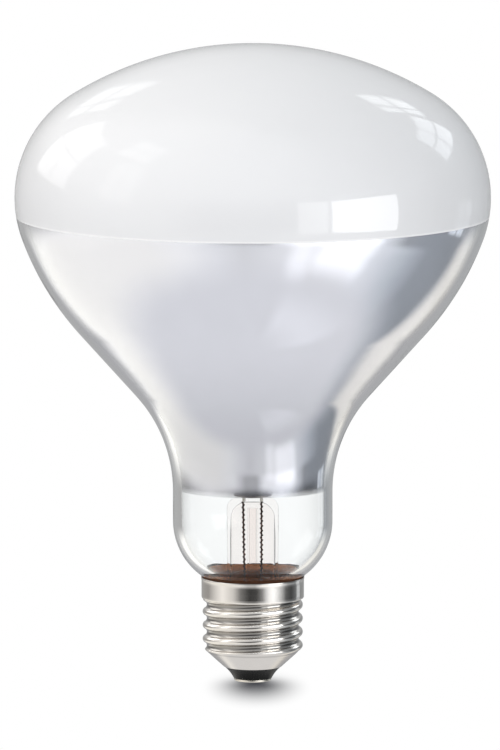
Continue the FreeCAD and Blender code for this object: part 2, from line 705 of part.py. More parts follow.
def filament_supports():
    """Thin wires from the button to the arch, each bent into an eye round the coil."""
    hooks = []
    eye = "(Sizes.coil_diameter / 2 + Sizes.hole_gap + Sizes.support_diameter / 2)"
    start = f"sqrt((Sizes.button_diameter / 2) ^ 2 - ({eye} - Sizes.support_diameter / 2) ^ 2)"
    reach = "Sizes.filament_span / 2"
    for number, angle in enumerate(SUPPORT_ANGLES, start=1):
        hook = new_body(f"support_{number}")
        route = Outline(new_sketch(hook, f"support_{number}_route"))
        stalk = route.line((value(eye), value(start)), (value(eye), value(reach)))
        loop = route.arc((0, value(reach)), value(eye), 0, math.radians(EYE_TURN), tangent=True)
        route.rule("Vertical", stalk[0])
        route.place(stalk, stalk[1], eye, start)
        route.on_axis(loop, 3)
        route.place(loop, 3, up=reach)
        route.place(loop, loop[2], up=f"{reach} + {eye} * sin({EYE_TURN} deg)")
        sweep_wire(hook, route, "Sizes.support_diameter", eye, start)
        tilt = Rotation(Vector(0, 1, 0), angle) * Rotation(Vector(0, 0, 1), QUARTER_TURN)
        hook.Placement = Placement(Vector(), tilt)
        hook.setExpression("Placement.Base.z", "Places.filament_base")
        hooks.append(hook)
    group = doc.addObject("Part::Compound", "filament_supports")
    group.Links = hooks
    return group


def heat_shield():
    """The disc on the arbor's foot that keeps the heat out of the neck, with holes for rod and leads."""
    body = new_body("heat_shield")
    sketch = new_sketch(body, "shield_plan", "XY_Plane", "Places.shield_seat")
    lead_hole = "Sizes.inner_lead_diameter / 2 + Sizes.hole_gap"
    circles(sketch, [
        ("0", "Sizes.shield_diameter / 2"),
        ("0", "Sizes.arbor_diameter / 2 + Sizes.hole_gap"),
        ("Sizes.lead_spacing / 2", lead_hole),
        ("-1 * Sizes.lead_spacing / 2", lead_hole),
    ])
    disc = body.newObject("PartDesign::Pad", "shield_disc")
    disc.Profile = sketch
    disc.setExpression("Length", "Sizes.shield_thickness")
    return body


def basing_cement():
    """The ring of cement between the bulb's tail and the skirt, with a channel for the side lead."""
    body = new_body("basing_cement")
    sketch = new_sketch(body, "cement_section")
    tail, outside = "(Places.tail_radius + Sizes.fuse_gap)", "(Places.skirt_bore - Sizes.fuse_gap)"
    collar_start = "Sizes.cap_height - Sizes.seal_radius * sin(Places.bowl_turn)"
    top, bottom = value("Places.cement_top"), value("Places.cement_floor")
    seal = value("Sizes.seal_radius - Sizes.fuse_gap")
    centre = (value(tail) + seal, value(collar_start))
    end_angle = HALF - math.asin((top - centre[1]) / seal)
    lip = (centre[0] + seal * math.cos(end_angle), top)

    outline = Outline(sketch)
    floor = outline.line((value(outside), bottom), (value(tail), bottom))
    inner_wall = outline.line((value(tail), bottom), (value(tail), centre[1]))
    collar = outline.arc(centre, seal, HALF, end_angle, tangent=True)
    cover = outline.line(lip, (value(outside), top))
    outer_wall = outline.line((value(outside), top), (value(outside), bottom))
    outline.close()

    outline.rule("Horizontal", floor[0])
    outline.place(floor, floor[1], outside, "Places.cement_floor")
    outline.rule("Vertical", inner_wall[0])
    outline.place(inner_wall, inner_wall[2], tail, collar_start)
    outline.size("Radius", collar[0], "Sizes.seal_radius - Sizes.fuse_gap")
    outline.rule("Horizontal", cover[0])
    outline.place(cover, cover[2], up="Places.cement_top")
    outline.rule("Vertical", outer_wall[0])
    turn(body, sketch, "cement_ring")

    channel = new_sketch(body, "lead_channel_plan", "XY_Plane", "Places.side_lead_end + Sizes.hole_gap")
    circles(channel, [("Places.side_lead_radius", "Sizes.outer_lead_diameter / 2 + Sizes.hole_gap")])
    cut_through(body, channel, "lead_channel", both_ways=False, upwards=False)
    return body


def cap_shell():
    """The rolled sheet-metal shell: skirt, screw thread and cone."""
    body = new_body("cap_shell")
    root = "(Sizes.root_diameter / 2 + Sizes.fuse_gap)"
    skirt = "(Sizes.skirt_diameter / 2)"
    rounding = value("Sizes.skirt_round")
    skirt_end, cap_height = value("Places.skirt_end"), value("Sizes.cap_height")
    foot_height = value("Sizes.foot_height")

    blank = new_sketch(body, "blank_section")
    outline = Outline(blank)
    foot_face = outline.line((0, foot_height), (value(root), foot_height))
    thread_wall = outline.line((value(root), foot_height), (value(root), skirt_end))
    step = outline.line((value(root), skirt_end), (value(skirt) - rounding, skirt_end))
    corner = outline.arc(
        (value(skirt) - rounding, skirt_end + rounding), rounding, -QUARTER, 0, tangent=True)
    skirt_wall = outline.line((value(skirt), skirt_end + rounding), (value(skirt), cap_height), tangent=True)
    rim_face = outline.line((value(skirt), cap_height), (0, cap_height))
    outline.line((0, cap_height), (0, foot_height))
    outline.close()
    outline.on_axis(foot_face, foot_face[1])
    outline.place(foot_face, foot_face[1], up="Sizes.foot_height")
    outline.rule("Horizontal", foot_face[0])
    outline.rule("Vertical", thread_wall[0])
    outline.place(thread_wall, thread_wall[2], root, "Places.skirt_end")
    outline.rule("Horizontal", step[0])
    outline.size("Radius", corner[0], "Sizes.skirt_round")
    outline.rule("Vertical", skirt_wall[0])
    outline.place(skirt_wall, skirt_wall[2], skirt, "Sizes.cap_height")
    outline.rule("Horizontal", rim_face[0])
    outline.on_axis(rim_face, rim_face[2])
    turn(body, blank, "drawn_blank")

    ridge = new_sketch(body, "ridge_section")
    ridge_outline(ridge, "Places.thread_bottom")
    thread = body.newObject("PartDesign::AdditiveHelix", "rolled_thread")
    thread.Profile = ridge
    thread.ReferenceAxis = (ridge, ["V_Axis"])
    thread.Mode = "pitch-height-angle"
    thread.setExpression("Pitch", "Sizes.thread_pitch")
    thread.setExpression("Height", "Places.thread_rise")

    cone = new_sketch(body, "cone_cut_section")
    beyond = "(Sizes.skirt_diameter / 2 + Sizes.shell_wall)"
    below = "(Sizes.foot_height - Sizes.thread_pitch)"
    polygon(cone, [
        ("Sizes.foot_diameter / 2", "Sizes.foot_height"),
        (beyond, f"Sizes.foot_height + ({beyond} - Sizes.foot_diameter / 2) * Places.cone_slope"),
        (beyond, below),
        ("Sizes.foot_diameter / 2", below),
    ])
    turn(body, cone, "cone_cut", "PartDesign::Groove")

    cavity = new_sketch(body, "cavity_section")
    thread_bore = "(Sizes.root_diameter / 2 - Sizes.shell_wall)"
    above = "(Sizes.cap_height + Sizes.shell_wall)"
    polygon(cavity, [
        ("0", below),
        ("Places.foot_bore", below),
        ("Places.foot_bore", "Sizes.foot_height"),
        (thread_bore, f"Sizes.foot_height + ({thread_bore} - Places.foot_bore) * Places.cone_slope"),
        (thread_bore, "Places.ledge"),
        ("Places.skirt_bore", "Places.ledge"),
        ("Places.skirt_bore", above),
        ("0", above),
    ])
    turn(body, cavity, "cavity", "PartDesign::Groove")
    return body


def ridge_outline(sketch, level):
    """The ridge of the screw thread: crest and root each turn from flat to flank in two equal corners."""
    crest, root = "Sizes.thread_diameter / 2", "Sizes.root_diameter / 2"
    base = f"{root} - Sizes.shell_wall / 2"
    corner = "Places.flank_turn / 4"
    half_flat = f"Places.flank_radius * tan({corner})"
    depth = f"Places.flank_radius * (1 - cos(3 * {corner}) / cos({corner}))"
    half_width = f"Places.flank_radius * sin(3 * {corner}) / cos({corner})"
    half_pitch = "Sizes.thread_pitch / 2"
    side = [
        (base, f"({half_pitch} - {half_flat})"),
        (root, f"({half_pitch} - {half_flat})"),
        (f"{root} + {depth}", f"({half_pitch} - {half_width})"),
        (f"{crest} - {depth}", half_width),
        (crest, half_flat),
    ]
    below = [(across, f"{level} - {up}") for across, up in side]
    above = [(across, f"{level} + {up}") for across, up in reversed(side)]
    polygon(sketch, below + above)


def cap_insulator():
    """The black glass that closes the shell's foot and carries the contact plate."""
    body = new_body("cap_insulator")
    sketch = new_sketch(body, "insulator_section")
    flange, tip = "Sizes.insulator_flange_diameter / 2", "Sizes.insulator_tip_diameter / 2"
    neck, bore = "(Places.foot_bore - Sizes.fuse_gap)", "Sizes.insulator_bore / 2"
    shoulder = f"{neck} + (Sizes.insulator_top - Sizes.foot_height) / Places.cone_slope"
    drop = value("Sizes.foot_height - Places.contact_top")
    step = value(flange) - value(tip)
    flare = (step ** 2 + drop ** 2) / (2 * step)
    centre = (value(tip) + flare, value("Places.contact_top"))
    foot_height, top = value("Sizes.foot_height"), value("Sizes.insulator_top")
    bottom = value("Places.contact_top")

    outline = Outline(sketch)
    base = outline.line((value(bore), bottom), (value(tip), bottom))
    sweep = outline.arc(centre, flare, HALF, HALF - math.asin(drop / flare))
    ledge = outline.line((value(flange), foot_height), (value(neck), foot_height))
    cone = outline.line((value(neck), foot_height), (value(shoulder), top))
    cover = outline.line((value(shoulder), top), (value(bore), top))
    channel = outline.line((value(bore), top), (value(bore), bottom))
    outline.close()

    outline.rule("Horizontal", base[0])
    outline.place(base, base[2], tip, "Places.contact_top")
    outline.place(sweep, 3, up="Places.contact_top")
    outline.place(ledge, ledge[1], flange, "Sizes.foot_height")
    outline.rule("Horizontal", ledge[0])
    outline.place(cone, cone[1], neck)
    outline.place(cone, cone[2], shoulder, "Sizes.insulator_top")
    outline.rule("Horizontal", cover[0])
    outline.rule("Vertical", channel[0])
    outline.place(channel, channel[1], bore)
    turn(body, sketch, "moulded_glass")
    return body


def centre_contact():
    """The pressed contact plate with a hole for the lead."""
    body = new_body("centre_contact")
    sketch = new_sketch(body, "contact_section")
    edge_radius, hole = "Sizes.contact_diameter / 2", "Sizes.outer_lead_diameter / 2 + Sizes.hole_gap"
    rounding = value("Sizes.contact_round")
    low, high = value("Sizes.solder_height"), value("Places.contact_top")

    outline = Outline(sketch)
    under = outline.line((value(hole), low), (value(edge_radius) - rounding, low))
    corner = outline.arc(
        (value(edge_radius) - rounding, low + rounding), rounding, -QUARTER, 0, tangent=True)
    edge = outline.line((value(edge_radius), low + rounding), (value(edge_radius), high), tangent=True)
    over = outline.line((value(edge_radius), high), (value(hole), high))
    bore = outline.line((value(hole), high), (value(hole), low))
    outline.close()

    outline.rule("Horizontal", under[0])
    outline.place(under, under[1], hole, "Sizes.solder_height")
    outline.size("Radius", corner[0], "Sizes.contact_round")
    outline.rule("Vertical", edge[0])
    outline.place(edge, edge[2], edge_radius, "Places.contact_top")
    outline.rule("Horizontal", over[0])
    outline.rule("Vertical", bore[0])
    turn(body, sketch, "pressed_plate")
    return body


def contact_solder():
    """The solder that joins the lead to the contact plate, with a small flat where it rests."""
    body = new_body("contact_solder")
    sketch = new_sketch(body, "solder_section")
    flat, edge_radius = "Sizes.solder_flat / 2", "Sizes.solder_diameter / 2"
    height = value("Sizes.solder_height")
    step = value(edge_radius) - value(flat)
    swell = (step ** 2 + height ** 2) / (2 * height)
    turn_up = math.asin(step / swell)

    outline = Outline(sketch)
    rest = outline.line((0, 0), (value(flat), 0))
    bead = outline.arc((value(flat), swell), swell, -QUARTER, -QUARTER + turn_up, tangent=True)
    joint = outline.line((value(edge_radius), height), (0, height))
    outline.line((0, height), (0, 0))
    outline.close()

    outline.rule("Coincident", rest[0], rest[1], *outline.origin_index)
    outline.rule("Horizontal", rest[0])
    outline.place(rest, rest[2], flat)
    outline.place(bead, bead[2], edge_radius, "Sizes.solder_height")
    outline.rule("Horizontal", joint[0])
    outline.on_axis(joint, joint[2])
    turn(body, sketch, "solder_bead")
    return body


def build():
    """Makes every piece of the lamp, checks it and writes it to its own file."""
    pieces = [
        glass_bulb(),
        reflector_film(),
        stem_tube(),
        exhaust_tube(),
        arbor_rod(),
        left_outer_lead(),
        right_outer_lead(),
        inner_lead("left_inner_lead", "-1 * "),
        inner_lead("right_inner_lead", ""),
        filament(),
        filament_supports(),
        heat_shield(),
        basing_cement(),
        cap_shell(),
        cap_insulator(),
        centre_contact(),
        contact_solder(),
    ]
    doc.recompute()
    failed = [item.Name for item in doc.Objects if "Invalid" in item.State or "Error" in item.State]
    if failed:
        raise RuntimeError(f"objects that did not compute: {failed}")
    for piece in pieces:
        if piece.Shape.isNull() or not piece.Shape.isValid():
            raise RuntimeError(f"{piece.Label} has no valid shape")
    os.makedirs("parts", exist_ok=True)
    for piece in pieces:
        piece.Shape.exportStep(f"parts/{piece.Label}.step")
        print(f"{piece.Label}: {len(piece.Shape.Solids)} solid(s), {piece.Shape.Volume:.1f} mm3")


build()
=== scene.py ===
"""Looks of an infrared heat lamp bulb: its pieces, their finishes and a small studio.

Laid out as an add-on and run as a script. Metres. The lamp's axis is Z, the tip of the solder under the
centre contact is the origin, and -Y is the front.
"""
import math

import bpy
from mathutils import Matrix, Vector


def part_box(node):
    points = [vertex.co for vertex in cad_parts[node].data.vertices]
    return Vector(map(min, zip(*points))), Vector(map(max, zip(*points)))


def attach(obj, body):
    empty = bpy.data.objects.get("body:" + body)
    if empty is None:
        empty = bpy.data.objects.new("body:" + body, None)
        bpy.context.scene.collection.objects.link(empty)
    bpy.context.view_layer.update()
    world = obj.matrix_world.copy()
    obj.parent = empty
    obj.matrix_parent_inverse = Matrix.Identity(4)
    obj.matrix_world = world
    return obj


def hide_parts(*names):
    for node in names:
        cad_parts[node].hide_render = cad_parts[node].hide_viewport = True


bl_info = {
    "name": "Heat lamp bulb",
    "version": (1, 0, 0),
    "blender": (4, 5, 0),
    "location": "3D View > Sidebar > Lamp",
    "description": "Builds the pieces, finishes and studio of a reflector heat lamp",
    "category": "Object",
}

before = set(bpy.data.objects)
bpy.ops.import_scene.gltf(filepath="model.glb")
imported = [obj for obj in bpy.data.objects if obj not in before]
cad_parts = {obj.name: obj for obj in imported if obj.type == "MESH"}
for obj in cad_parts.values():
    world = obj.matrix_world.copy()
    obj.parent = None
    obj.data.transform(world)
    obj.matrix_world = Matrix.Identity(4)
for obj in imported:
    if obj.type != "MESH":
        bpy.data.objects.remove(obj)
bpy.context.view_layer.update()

MM = 0.001
WELD = 0.001 * MM
FULL_TURN = 2 * math.pi
HALF_TURN = math.pi
QUARTER_TURN = math.pi / 2
CAMERA_ROWS = 750
SENSOR = 36.0


def node_top(node):
    """The highest point of a CAD node."""
    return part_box(node)[1].z


def node_bottom(node):
    """The lowest point of a CAD node."""
    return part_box(node)[0].z


def length(name, millimetres, text):
    """A length that the user may change, written in millimetres and kept in metres."""
    return bpy.props.FloatProperty(
        name=name, description=text, default=millimetres * MM, unit="LENGTH", precision=5)


def share(name, default, text):
    """A plain number that the user may change."""
    return bpy.props.FloatProperty(name=name, description=text, default=default, precision=4)


def angle(name, degrees, text):
    """An angle that the user may change, written in degrees and kept in radians."""
    return bpy.props.FloatProperty(
        name=name, description=text, default=math.radians(degrees), subtype="ANGLE")


def colour(name, default, text):
    """A linear colour that the user may change."""
    return bpy.props.FloatVectorProperty(
        name=name, description=text, default=default, size=3, subtype="COLOR", min=0.0, max=1.0)


def count(name, default, text):
    """A whole number that the user may change."""
    return bpy.props.IntProperty(name=name, description=text, default=default, min=3)


class BulbForm(bpy.types.PropertyGroup):
    """The blown glass and the mirror inside it."""

    diameter: length("Diameter", 125.0, "Widest outside diameter of the glass")
    face_radius: length("Face radius", 90.7, "Radius of the domed face")
    shoulder_radius: length("Shoulder radius", 31.4, "Radius of the rounded edge of the face")
    shoulder_drop: length("Shoulder drop", 10.9, "How far the shoulder arc runs below the widest level")
    side_radius: length("Side radius", 77.5, "Radius of the arc below the shoulder")
    cone_angle: angle("Cone angle", 41.9, "Lean of the straight cone from the axis")
    throat_radius: length("Throat radius", 38.5, "Radius of the hollow curve above the neck")
    neck_diameter: length("Neck diameter", 42.0, "Outside diameter of the neck")
    neck_length: length("Neck length", 7.7, "Straight length of the neck")
    bowl_radius: length("Bowl radius", 18.0, "Radius of the curve that closes the neck down to the cap")
    seal_radius: length("Seal radius", 3.0, "Radius of the curve at the cap's rim")
    seat_radius: length("Seat radius", 13.0, "Outside radius of the glass at the cap's rim")
    wall: length("Wall", 2.2, "Thickness of the glass")
    film_gap: length("Film gap", 0.1, "Distance of the mirror from the glass")
    film_wall: length("Film wall", 0.1, "Thickness of the mirror's skin")
    film_fade: length("Film fade", 2.6, "Height over which the mirror thins out at its lower edge")
    # Painted shade darkens the mirror from its lower edge: fully up to the first of these heights, fading out by
    # the second.
    film_full_shade: length("Film dull", 10.0, "Height above its lower edge up to which the mirror is dull")
    film_shade_end: length("Film bright", 46.0, "Height above its lower edge from which the mirror is bright")
    frost_overlap: length("Frost overlap", 0.65, "How far the white coat runs down over the mirror")
    frost_line: length("Frost line", 0.35, "Height of the whiter line where the coat ends")
    frost_blend: length("Frost blend", 0.25, "Height over which that line runs into the coat")
    cement_depth: length("Cement depth", 0.1, "How far below the cap's rim the cement on the glass starts")
    # Above these depths the cement on the glass is drawn paler: a thinly spread smear with painted glare.
    thin_glare_depth: length("Thin depth", 2.0, "How far below the cap's rim that cement begins to turn thin")
    thin_glare_blend: length("Thin blend", 1.1, "Height over which that cement turns thin")
    bead_rise: length("Bead rise", 0.85, "How far the squeezed-out cement climbs the glass at the front")
    bead_sink: length("Bead sink", 0.3, "How far the squeezed-out cement reaches below the cap's rim")
    bead_skin: length("Bead skin", 0.03, "Distance of the squeezed-out cement from the glass")
    bead_gap: length("Bead gap", 0.05, "Distance of the squeezed-out cement from the sheet")
    bead_bulge: length("Bead bulge", 0.08, "How far the squeezed-out cement swells outwards")
    ring_steps: count("Ring steps", 192, "Faces round the bulb")


class CapForm(bpy.types.PropertyGroup):
    """The rolled screw shell and the end of the cap."""

    height: length("Height", 28.0, "Level of the shell's rim")
    skirt_radius: length("Skirt radius", 13.5, "Outside radius of the plain skirt")
    skirt_end: length("Skirt end", 22.3, "Level of the skirt's lower edge")
    lip_flare: length("Lip flare", 0.12, "How far the rim turns outwards")
    crest_radius: length("Crest radius", 13.2, "Outside radius of the thread's crests")
    root_radius: length("Root radius", 12.1, "Outside radius of the thread's roots")
    pitch: length("Pitch", 3.62, "Rise of the thread in one turn")
    thread_start: length("Thread start", 9.7, "Level of the lowest full crest on the right")
    cone_top: length("Cone top", 8.2, "Level where the cone leaves the thread")
    foot_level: length("Foot level", 4.2, "Level of the shell's lower end")
    foot_radius: length("Foot radius", 7.7, "Outside radius of the shell's lower end")
    wall: length("Wall", 0.35, "Thickness of the sheet")
    corner: length("Corner", 0.5, "Radius of the bend between thread and skirt")
    lip_height: length("Lip height", 0.9, "Height over which the rim turns outwards")
    cone_blend: length("Cone blend", 0.5, "How softly the thread runs out into the cone")
    flare_bend: angle("Flare bend", 24.0, "How far the insulator's hollow side curves")
    flange_radius: length("Flange radius", 7.6, "Radius of the insulator at the shell's lower end")
    tip_radius: length("Tip radius", 5.0, "Radius of the insulator's lower end")
    bore_radius: length("Bore radius", 1.5, "Radius of the hole through the insulator")
    plate_hole: length("Plate hole", 0.4, "Radius of the hole in the contact plate")
    plate_corner: length("Plate corner", 0.25, "Radius of the contact plate's rounded edge")
    solder_flat: length("Solder flat", 1.2, "Radius of the flat under the solder")
    ring_steps: count("Ring steps", 160, "Faces round the shell")
    thread_steps: count("Thread steps", 240, "Faces along the outside of the thread")


class MountForm(bpy.types.PropertyGroup):
    """The stem, the wires and the filament."""

    stem_radius: length("Stem radius", 6.8, "Outside radius of the glass stem")
    stem_wall: length("Stem wall", 1.1, "Thickness of the stem's glass")
    flare_radius: length("Flare radius", 6.0, "Radius of the flare at the stem's lower end")
    press_half: length("Press half", 3.0, "Half the thickness of the pinched press")
    press_height: length("Press height", 2.6, "Height of the flat press")
    press_ramp: length("Press ramp", 8.0, "Height over which the tube is pinched")
    press_round: length("Press round", 2.9, "Radius of the press's shoulders")
    bore_drop: length("Bore drop", 1.3, "Distance of the bore's end from the top of the press")
    bore_round: length("Bore round", 4.2, "Radius of the bore's rounded end")
    exhaust_wall: length("Exhaust wall", 0.5, "Thickness of the exhaust tube's glass")
    rod_radius: length("Rod radius", 1.3, "Radius of the arbor rod")
    foot_radius: length("Foot radius", 1.8, "Radius of the rod's foot on the press")
    foot_height: length("Foot height", 0.6, "Height of the rod's foot")
    lead_offset: length("Lead offset", 2.3, "Distance of each lead from the axis")
    strand_pitch: length("Strand pitch", 1.3, "Rise of the twisted leads in one turn")
    lead_radius: length("Lead radius", 0.35, "Radius of a twisted lead over both strands")
    lead_kink: length("Lead kink", 0.13, "How far a twisted lead winds off its own line")
    lead_flat: share("Lead flatness", 0.7, "Thickness of a twisted lead as a share of its width")
    lead_sway: length("Lead sway", 0.25, "How far the left lead leans off its own line")
    lead_bend: length("Lead bend", 1.2, "Size of the bends of the lead that runs to the shell")
    lead_end: length("Lead end", 26.8, "Level where that lead ends inside the shell")
    coil_radius: length("Coil radius", 0.75, "Outside radius of the filament's coil")
    coil_pitch: length("Coil pitch", 0.26, "Rise of the coil in one turn")
    coil_wire: length("Coil wire", 0.075, "Radius of the filament's wire")
    arch_radius: length("Arch radius", 15.0, "Radius of the arch that the filament hangs in")
    hook_wire: length("Hook wire", 0.175, "Radius of the supports' wire")
    hook_gap: length("Hook gap", 0.05, "Distance of a support's eye from the coil")
    button_radius: length("Button radius", 2.5, "Radius of the button that the supports start from")


class Finishes(bpy.types.PropertyGroup):
    """Colours of the lamp's materials."""

    frost: colour("Frost", (0.86, 0.865, 0.875), "White coat inside the face")
    frost_line: colour("Frost line", (0.96, 0.96, 0.965), "Whiter line where the coat ends")
    mirror: colour("Mirror", (0.80, 0.795, 0.85), "Aluminium film inside the cone")
    glass: colour("Glass", (0.975, 0.985, 0.985), "Clear glass of the neck")
    stem_glass: colour("Stem glass", (0.98, 0.96, 0.95), "Clear glass of the stem")
    nickel: colour("Nickel", (0.74, 0.71, 0.67), "Plating of the screw shell")
    insulator: colour("Insulator", (0.006, 0.006, 0.0055), "Black glass at the end of the cap")
    contact: colour("Contact", (0.74, 0.70, 0.62), "Tinned contact plate")
    solder: colour("Solder", (0.62, 0.62, 0.61), "Solder under the contact")
    cement: colour("Cement", (0.80, 0.25, 0.05), "Baked cement in the cap's rim")
    # Paler cement shade: a thinly spread smear with painted glare.
    thin_cement_glare: colour("Thin cement", (0.95, 0.42, 0.2), "Thin cement that lets light through to the glass")
    lead: colour("Lead", (0.06, 0.028, 0.02), "Dark twisted leads")
    wire: colour("Wire", (0.55, 0.53, 0.49), "Nickel wires inside the bulb")
    tungsten: colour("Tungsten", (0.24, 0.24, 0.26), "Filament and its supports")
    shield: colour("Shield", (0.30, 0.26, 0.23), "Heat shield above the stem")


class Studio(bpy.types.PropertyGroup):
    """Camera, floor and surroundings."""

    distance: length("Distance", 3000.0, "Level distance of the camera from the axis")
    camera_height: length("Camera height", 475.0, "Level of the camera")
    camera_side: length("Camera side", -0.72, "Sideways place of the camera")
    aim_height: length("Aim height", 81.5, "Level that the camera looks at")
    focal_pixels: share("Focal length", 11510.0, "Focal length in the photograph's pixels")
    view_end: length("View end", 20000.0, "How far the camera sees")
    floor_size: length("Floor size", 6000.0, "Side of the square floor")
    floor: colour("Floor", (0.85, 0.85, 0.86), "Colour of the floor to all rays but the camera's")
    shadow: colour("Shadow", (0.03, 0.032, 0.042), "Colour of the floor where it is shaded most")
    shadow_falloff: share("Shadow falloff", 2.4, "How far a slight cover already shades the floor")
    contact_reach: length("Contact reach", 60.0, "How near the lamp is where it shades the floor")
    shadow_half_width: length("Shadow half width", 15.0, "Where the shadow ends to either side")
    shadow_half_depth: length("Shadow half depth", 40.0, "Where the shadow ends towards the front")
    pane_distance: length("Pane distance", 500.0, "How far the near window stands from the lamp")
    pane_bottom: length("Pane bottom", 5.0, "Level of the near window's lower edge")
    pane_top: length("Pane top", 240.0, "Level of the near window's upper edge")
    soft_side: angle("Soft light side", 15.0, "How far to the right of the camera the soft light stands")
    soft_lift: angle("Soft light lift", 35.0, "How steeply the soft light shines down")
    soft_distance: length("Soft light distance", 2000.0, "How far the soft light stands from the lamp")
    soft_size: length("Soft light size", 1500.0, "Side of the square soft light")
    soft_bright: share("Soft light brightness", 1.4, "How bright the soft light's face is")
    shadow_side: length("Shadow side", 1.0, "How far the shadow lies to the right of the lamp")
    shadow_shift: length("Shadow shift", 10.0, "How far the shadow's middle lies in front of the lamp")


class Socket:
    """A shader socket that takes Python's operators. Each operation adds a node."""

    def __init__(self, graph, outlet):
        self.graph = graph
        self.outlet = outlet

    def maths(self, operation, first, second):
        """A maths node of two numbers."""
        return self.graph.add("ShaderNodeMath", {"operation": operation}, {0: first, 1: second})

    def __add__(self, other):
        return self.maths("ADD", self, other)

    def __radd__(self, other):
        return self.maths("ADD", other, self)

    def __sub__(self, other):
        return self.maths("SUBTRACT", self, other)

    def __rsub__(self, other):
        return self.maths("SUBTRACT", other, self)

    def __mul__(self, other):
        return self.maths("MULTIPLY", self, other)

    def __rmul__(self, other):
        return self.maths("MULTIPLY", other, self)

    def __truediv__(self, other):
        return self.maths("DIVIDE", self, other)

    def __pow__(self, other):
        return self.maths("POWER", self, other)


class Graph:
    """A node tree that is built up by expressions."""

    def __init__(self, tree):
        tree.nodes.clear()
        self.tree = tree

    def add(self, kind, settings=None, inputs=None, outlet=0):
        """Adds a node: its settings first, then the values or links of its sockets."""
        node = self.tree.nodes.new(kind)
        for key, setting in (settings or {}).items():
            if key == "stops":
                self.stops(node, setting)
            else:
                setattr(node, key, setting)
        for key, content in (inputs or {}).items():
            if isinstance(content, Socket):
                self.tree.links.new(content.outlet, node.inputs[key])
            else:
                node.inputs[key].default_value = content
        return Socket(self, node.outputs[outlet]) if node.outputs else node

    def stops(self, node, stops):
        """Fills a colour ramp from pairs of place and grey or colour."""
        elements = node.color_ramp.elements
        while len(elements) < len(stops):
            elements.new(0.5)
        for element, (place, shade) in zip(elements, sorted(stops)):
            element.position = place
            element.color = (*([shade] * 3 if isinstance(shade, (int, float)) else shade), 1.0)

    def place(self):
        """The object's own coordinates."""
        return self.add("ShaderNodeTexCoord", outlet="Object")

    def axes(self, vector):
        """The three numbers of a vector."""
        split = self.add("ShaderNodeSeparateXYZ", inputs={0: vector}).outlet.node
        return [Socket(self, outlet) for outlet in split.outputs]

    def stretched(self, factors):
        """The object's coordinates, stretched by three factors."""
        return self.add("ShaderNodeMapping", inputs={"Vector": self.place(), "Scale": factors})

    def noise(self, scale, detail=2.0, vector=None):
        """Soft cloudy noise from 0 to 1."""
        return self.add("ShaderNodeTexNoise", inputs={
            "Vector": vector or self.place(), "Scale": scale, "Detail": detail})

    def ramp(self, factor, stops):
        """A colour ramp over a factor."""
        return self.add("ShaderNodeValToRGB", {"stops": stops}, {0: factor})

    def step(self, number, low, high, start=0.0, end=1.0):
        """A smooth rise from start to end as a number goes from low to high."""
        return self.add("ShaderNodeMapRange", {"interpolation_type": "SMOOTHSTEP"}, {
            0: number, 1: low, 2: high, 3: start, 4: end})

    def mixed(self, factor, first, second):
        """Two colours mixed by a factor."""
        return self.add("ShaderNodeMix", {"data_type": "RGBA"}, {0: factor, 6: first, 7: second}, outlet=2)

    def bump(self, height, strength, distance):
        """A normal that is roughened by a height."""
        return self.add("ShaderNodeBump", inputs={
            "Strength": strength, "Distance": distance, "Height": height})

    def surface(self, inputs):
        """The main shader, joined to the output."""
        self.finish(self.add("ShaderNodeBsdfPrincipled", inputs=inputs))

    def finish(self, shader):
        """Joins a shader to the material's output."""
        self.add("ShaderNodeOutputMaterial", inputs={0: shader})


def material(name):
    """A new material and the graph that it is made with."""
    made = bpy.data.materials.new(name)
    made.use_nodes = True
    return made, Graph(made.node_tree)


def rgba(shade):
    """A colour with full cover."""
    return (*shade, 1.0)


def dimmed(shade, factor):
    """A darker or lighter version of a colour."""
    return tuple(min(1.0, part * factor) for part in shade)


def forms():
    """The property groups, in the order bulb, cap, mount, finishes, studio."""
    scene = bpy.context.scene
    return scene.lamp_bulb, scene.lamp_cap, scene.lamp_mount, scene.lamp_finishes, scene.lamp_studio


def deselect():
    """Leaves no object selected."""
    bpy.ops.object.select_all(action="DESELECT")


def weld(hole_sides=0):
    """Joins double vertices in edit mode, closes open ends and turns the faces outwards."""
    bpy.ops.mesh.select_all(action="SELECT")
    bpy.ops.mesh.remove_doubles(threshold=WELD)
    if hole_sides:
        bpy.ops.mesh.fill_holes(sides=hole_sides)
    bpy.ops.mesh.normals_make_consistent(inside=False)


def smooth(piece, sharp):
    """Smooth shading with the edges kept that are sharper than some degrees."""
    deselect()
    piece.select_set(True)
    bpy.context.view_layer.objects.active = piece
    bpy.ops.object.shade_smooth_by_angle(angle=math.radians(sharp))


def seat(piece, finish, node):
    """Puts a finished piece on the lamp in place of a CAD node."""
    if finish is not None:
        piece.data.materials.clear()
        piece.data.materials.append(finish)
    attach(piece, "root")
    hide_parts(node)


def outward(face):
    """Above zero where a face looks away from the lamp's axis, below zero where it looks towards it."""
    return face.normal.x * face.center.x + face.normal.y * face.center.y


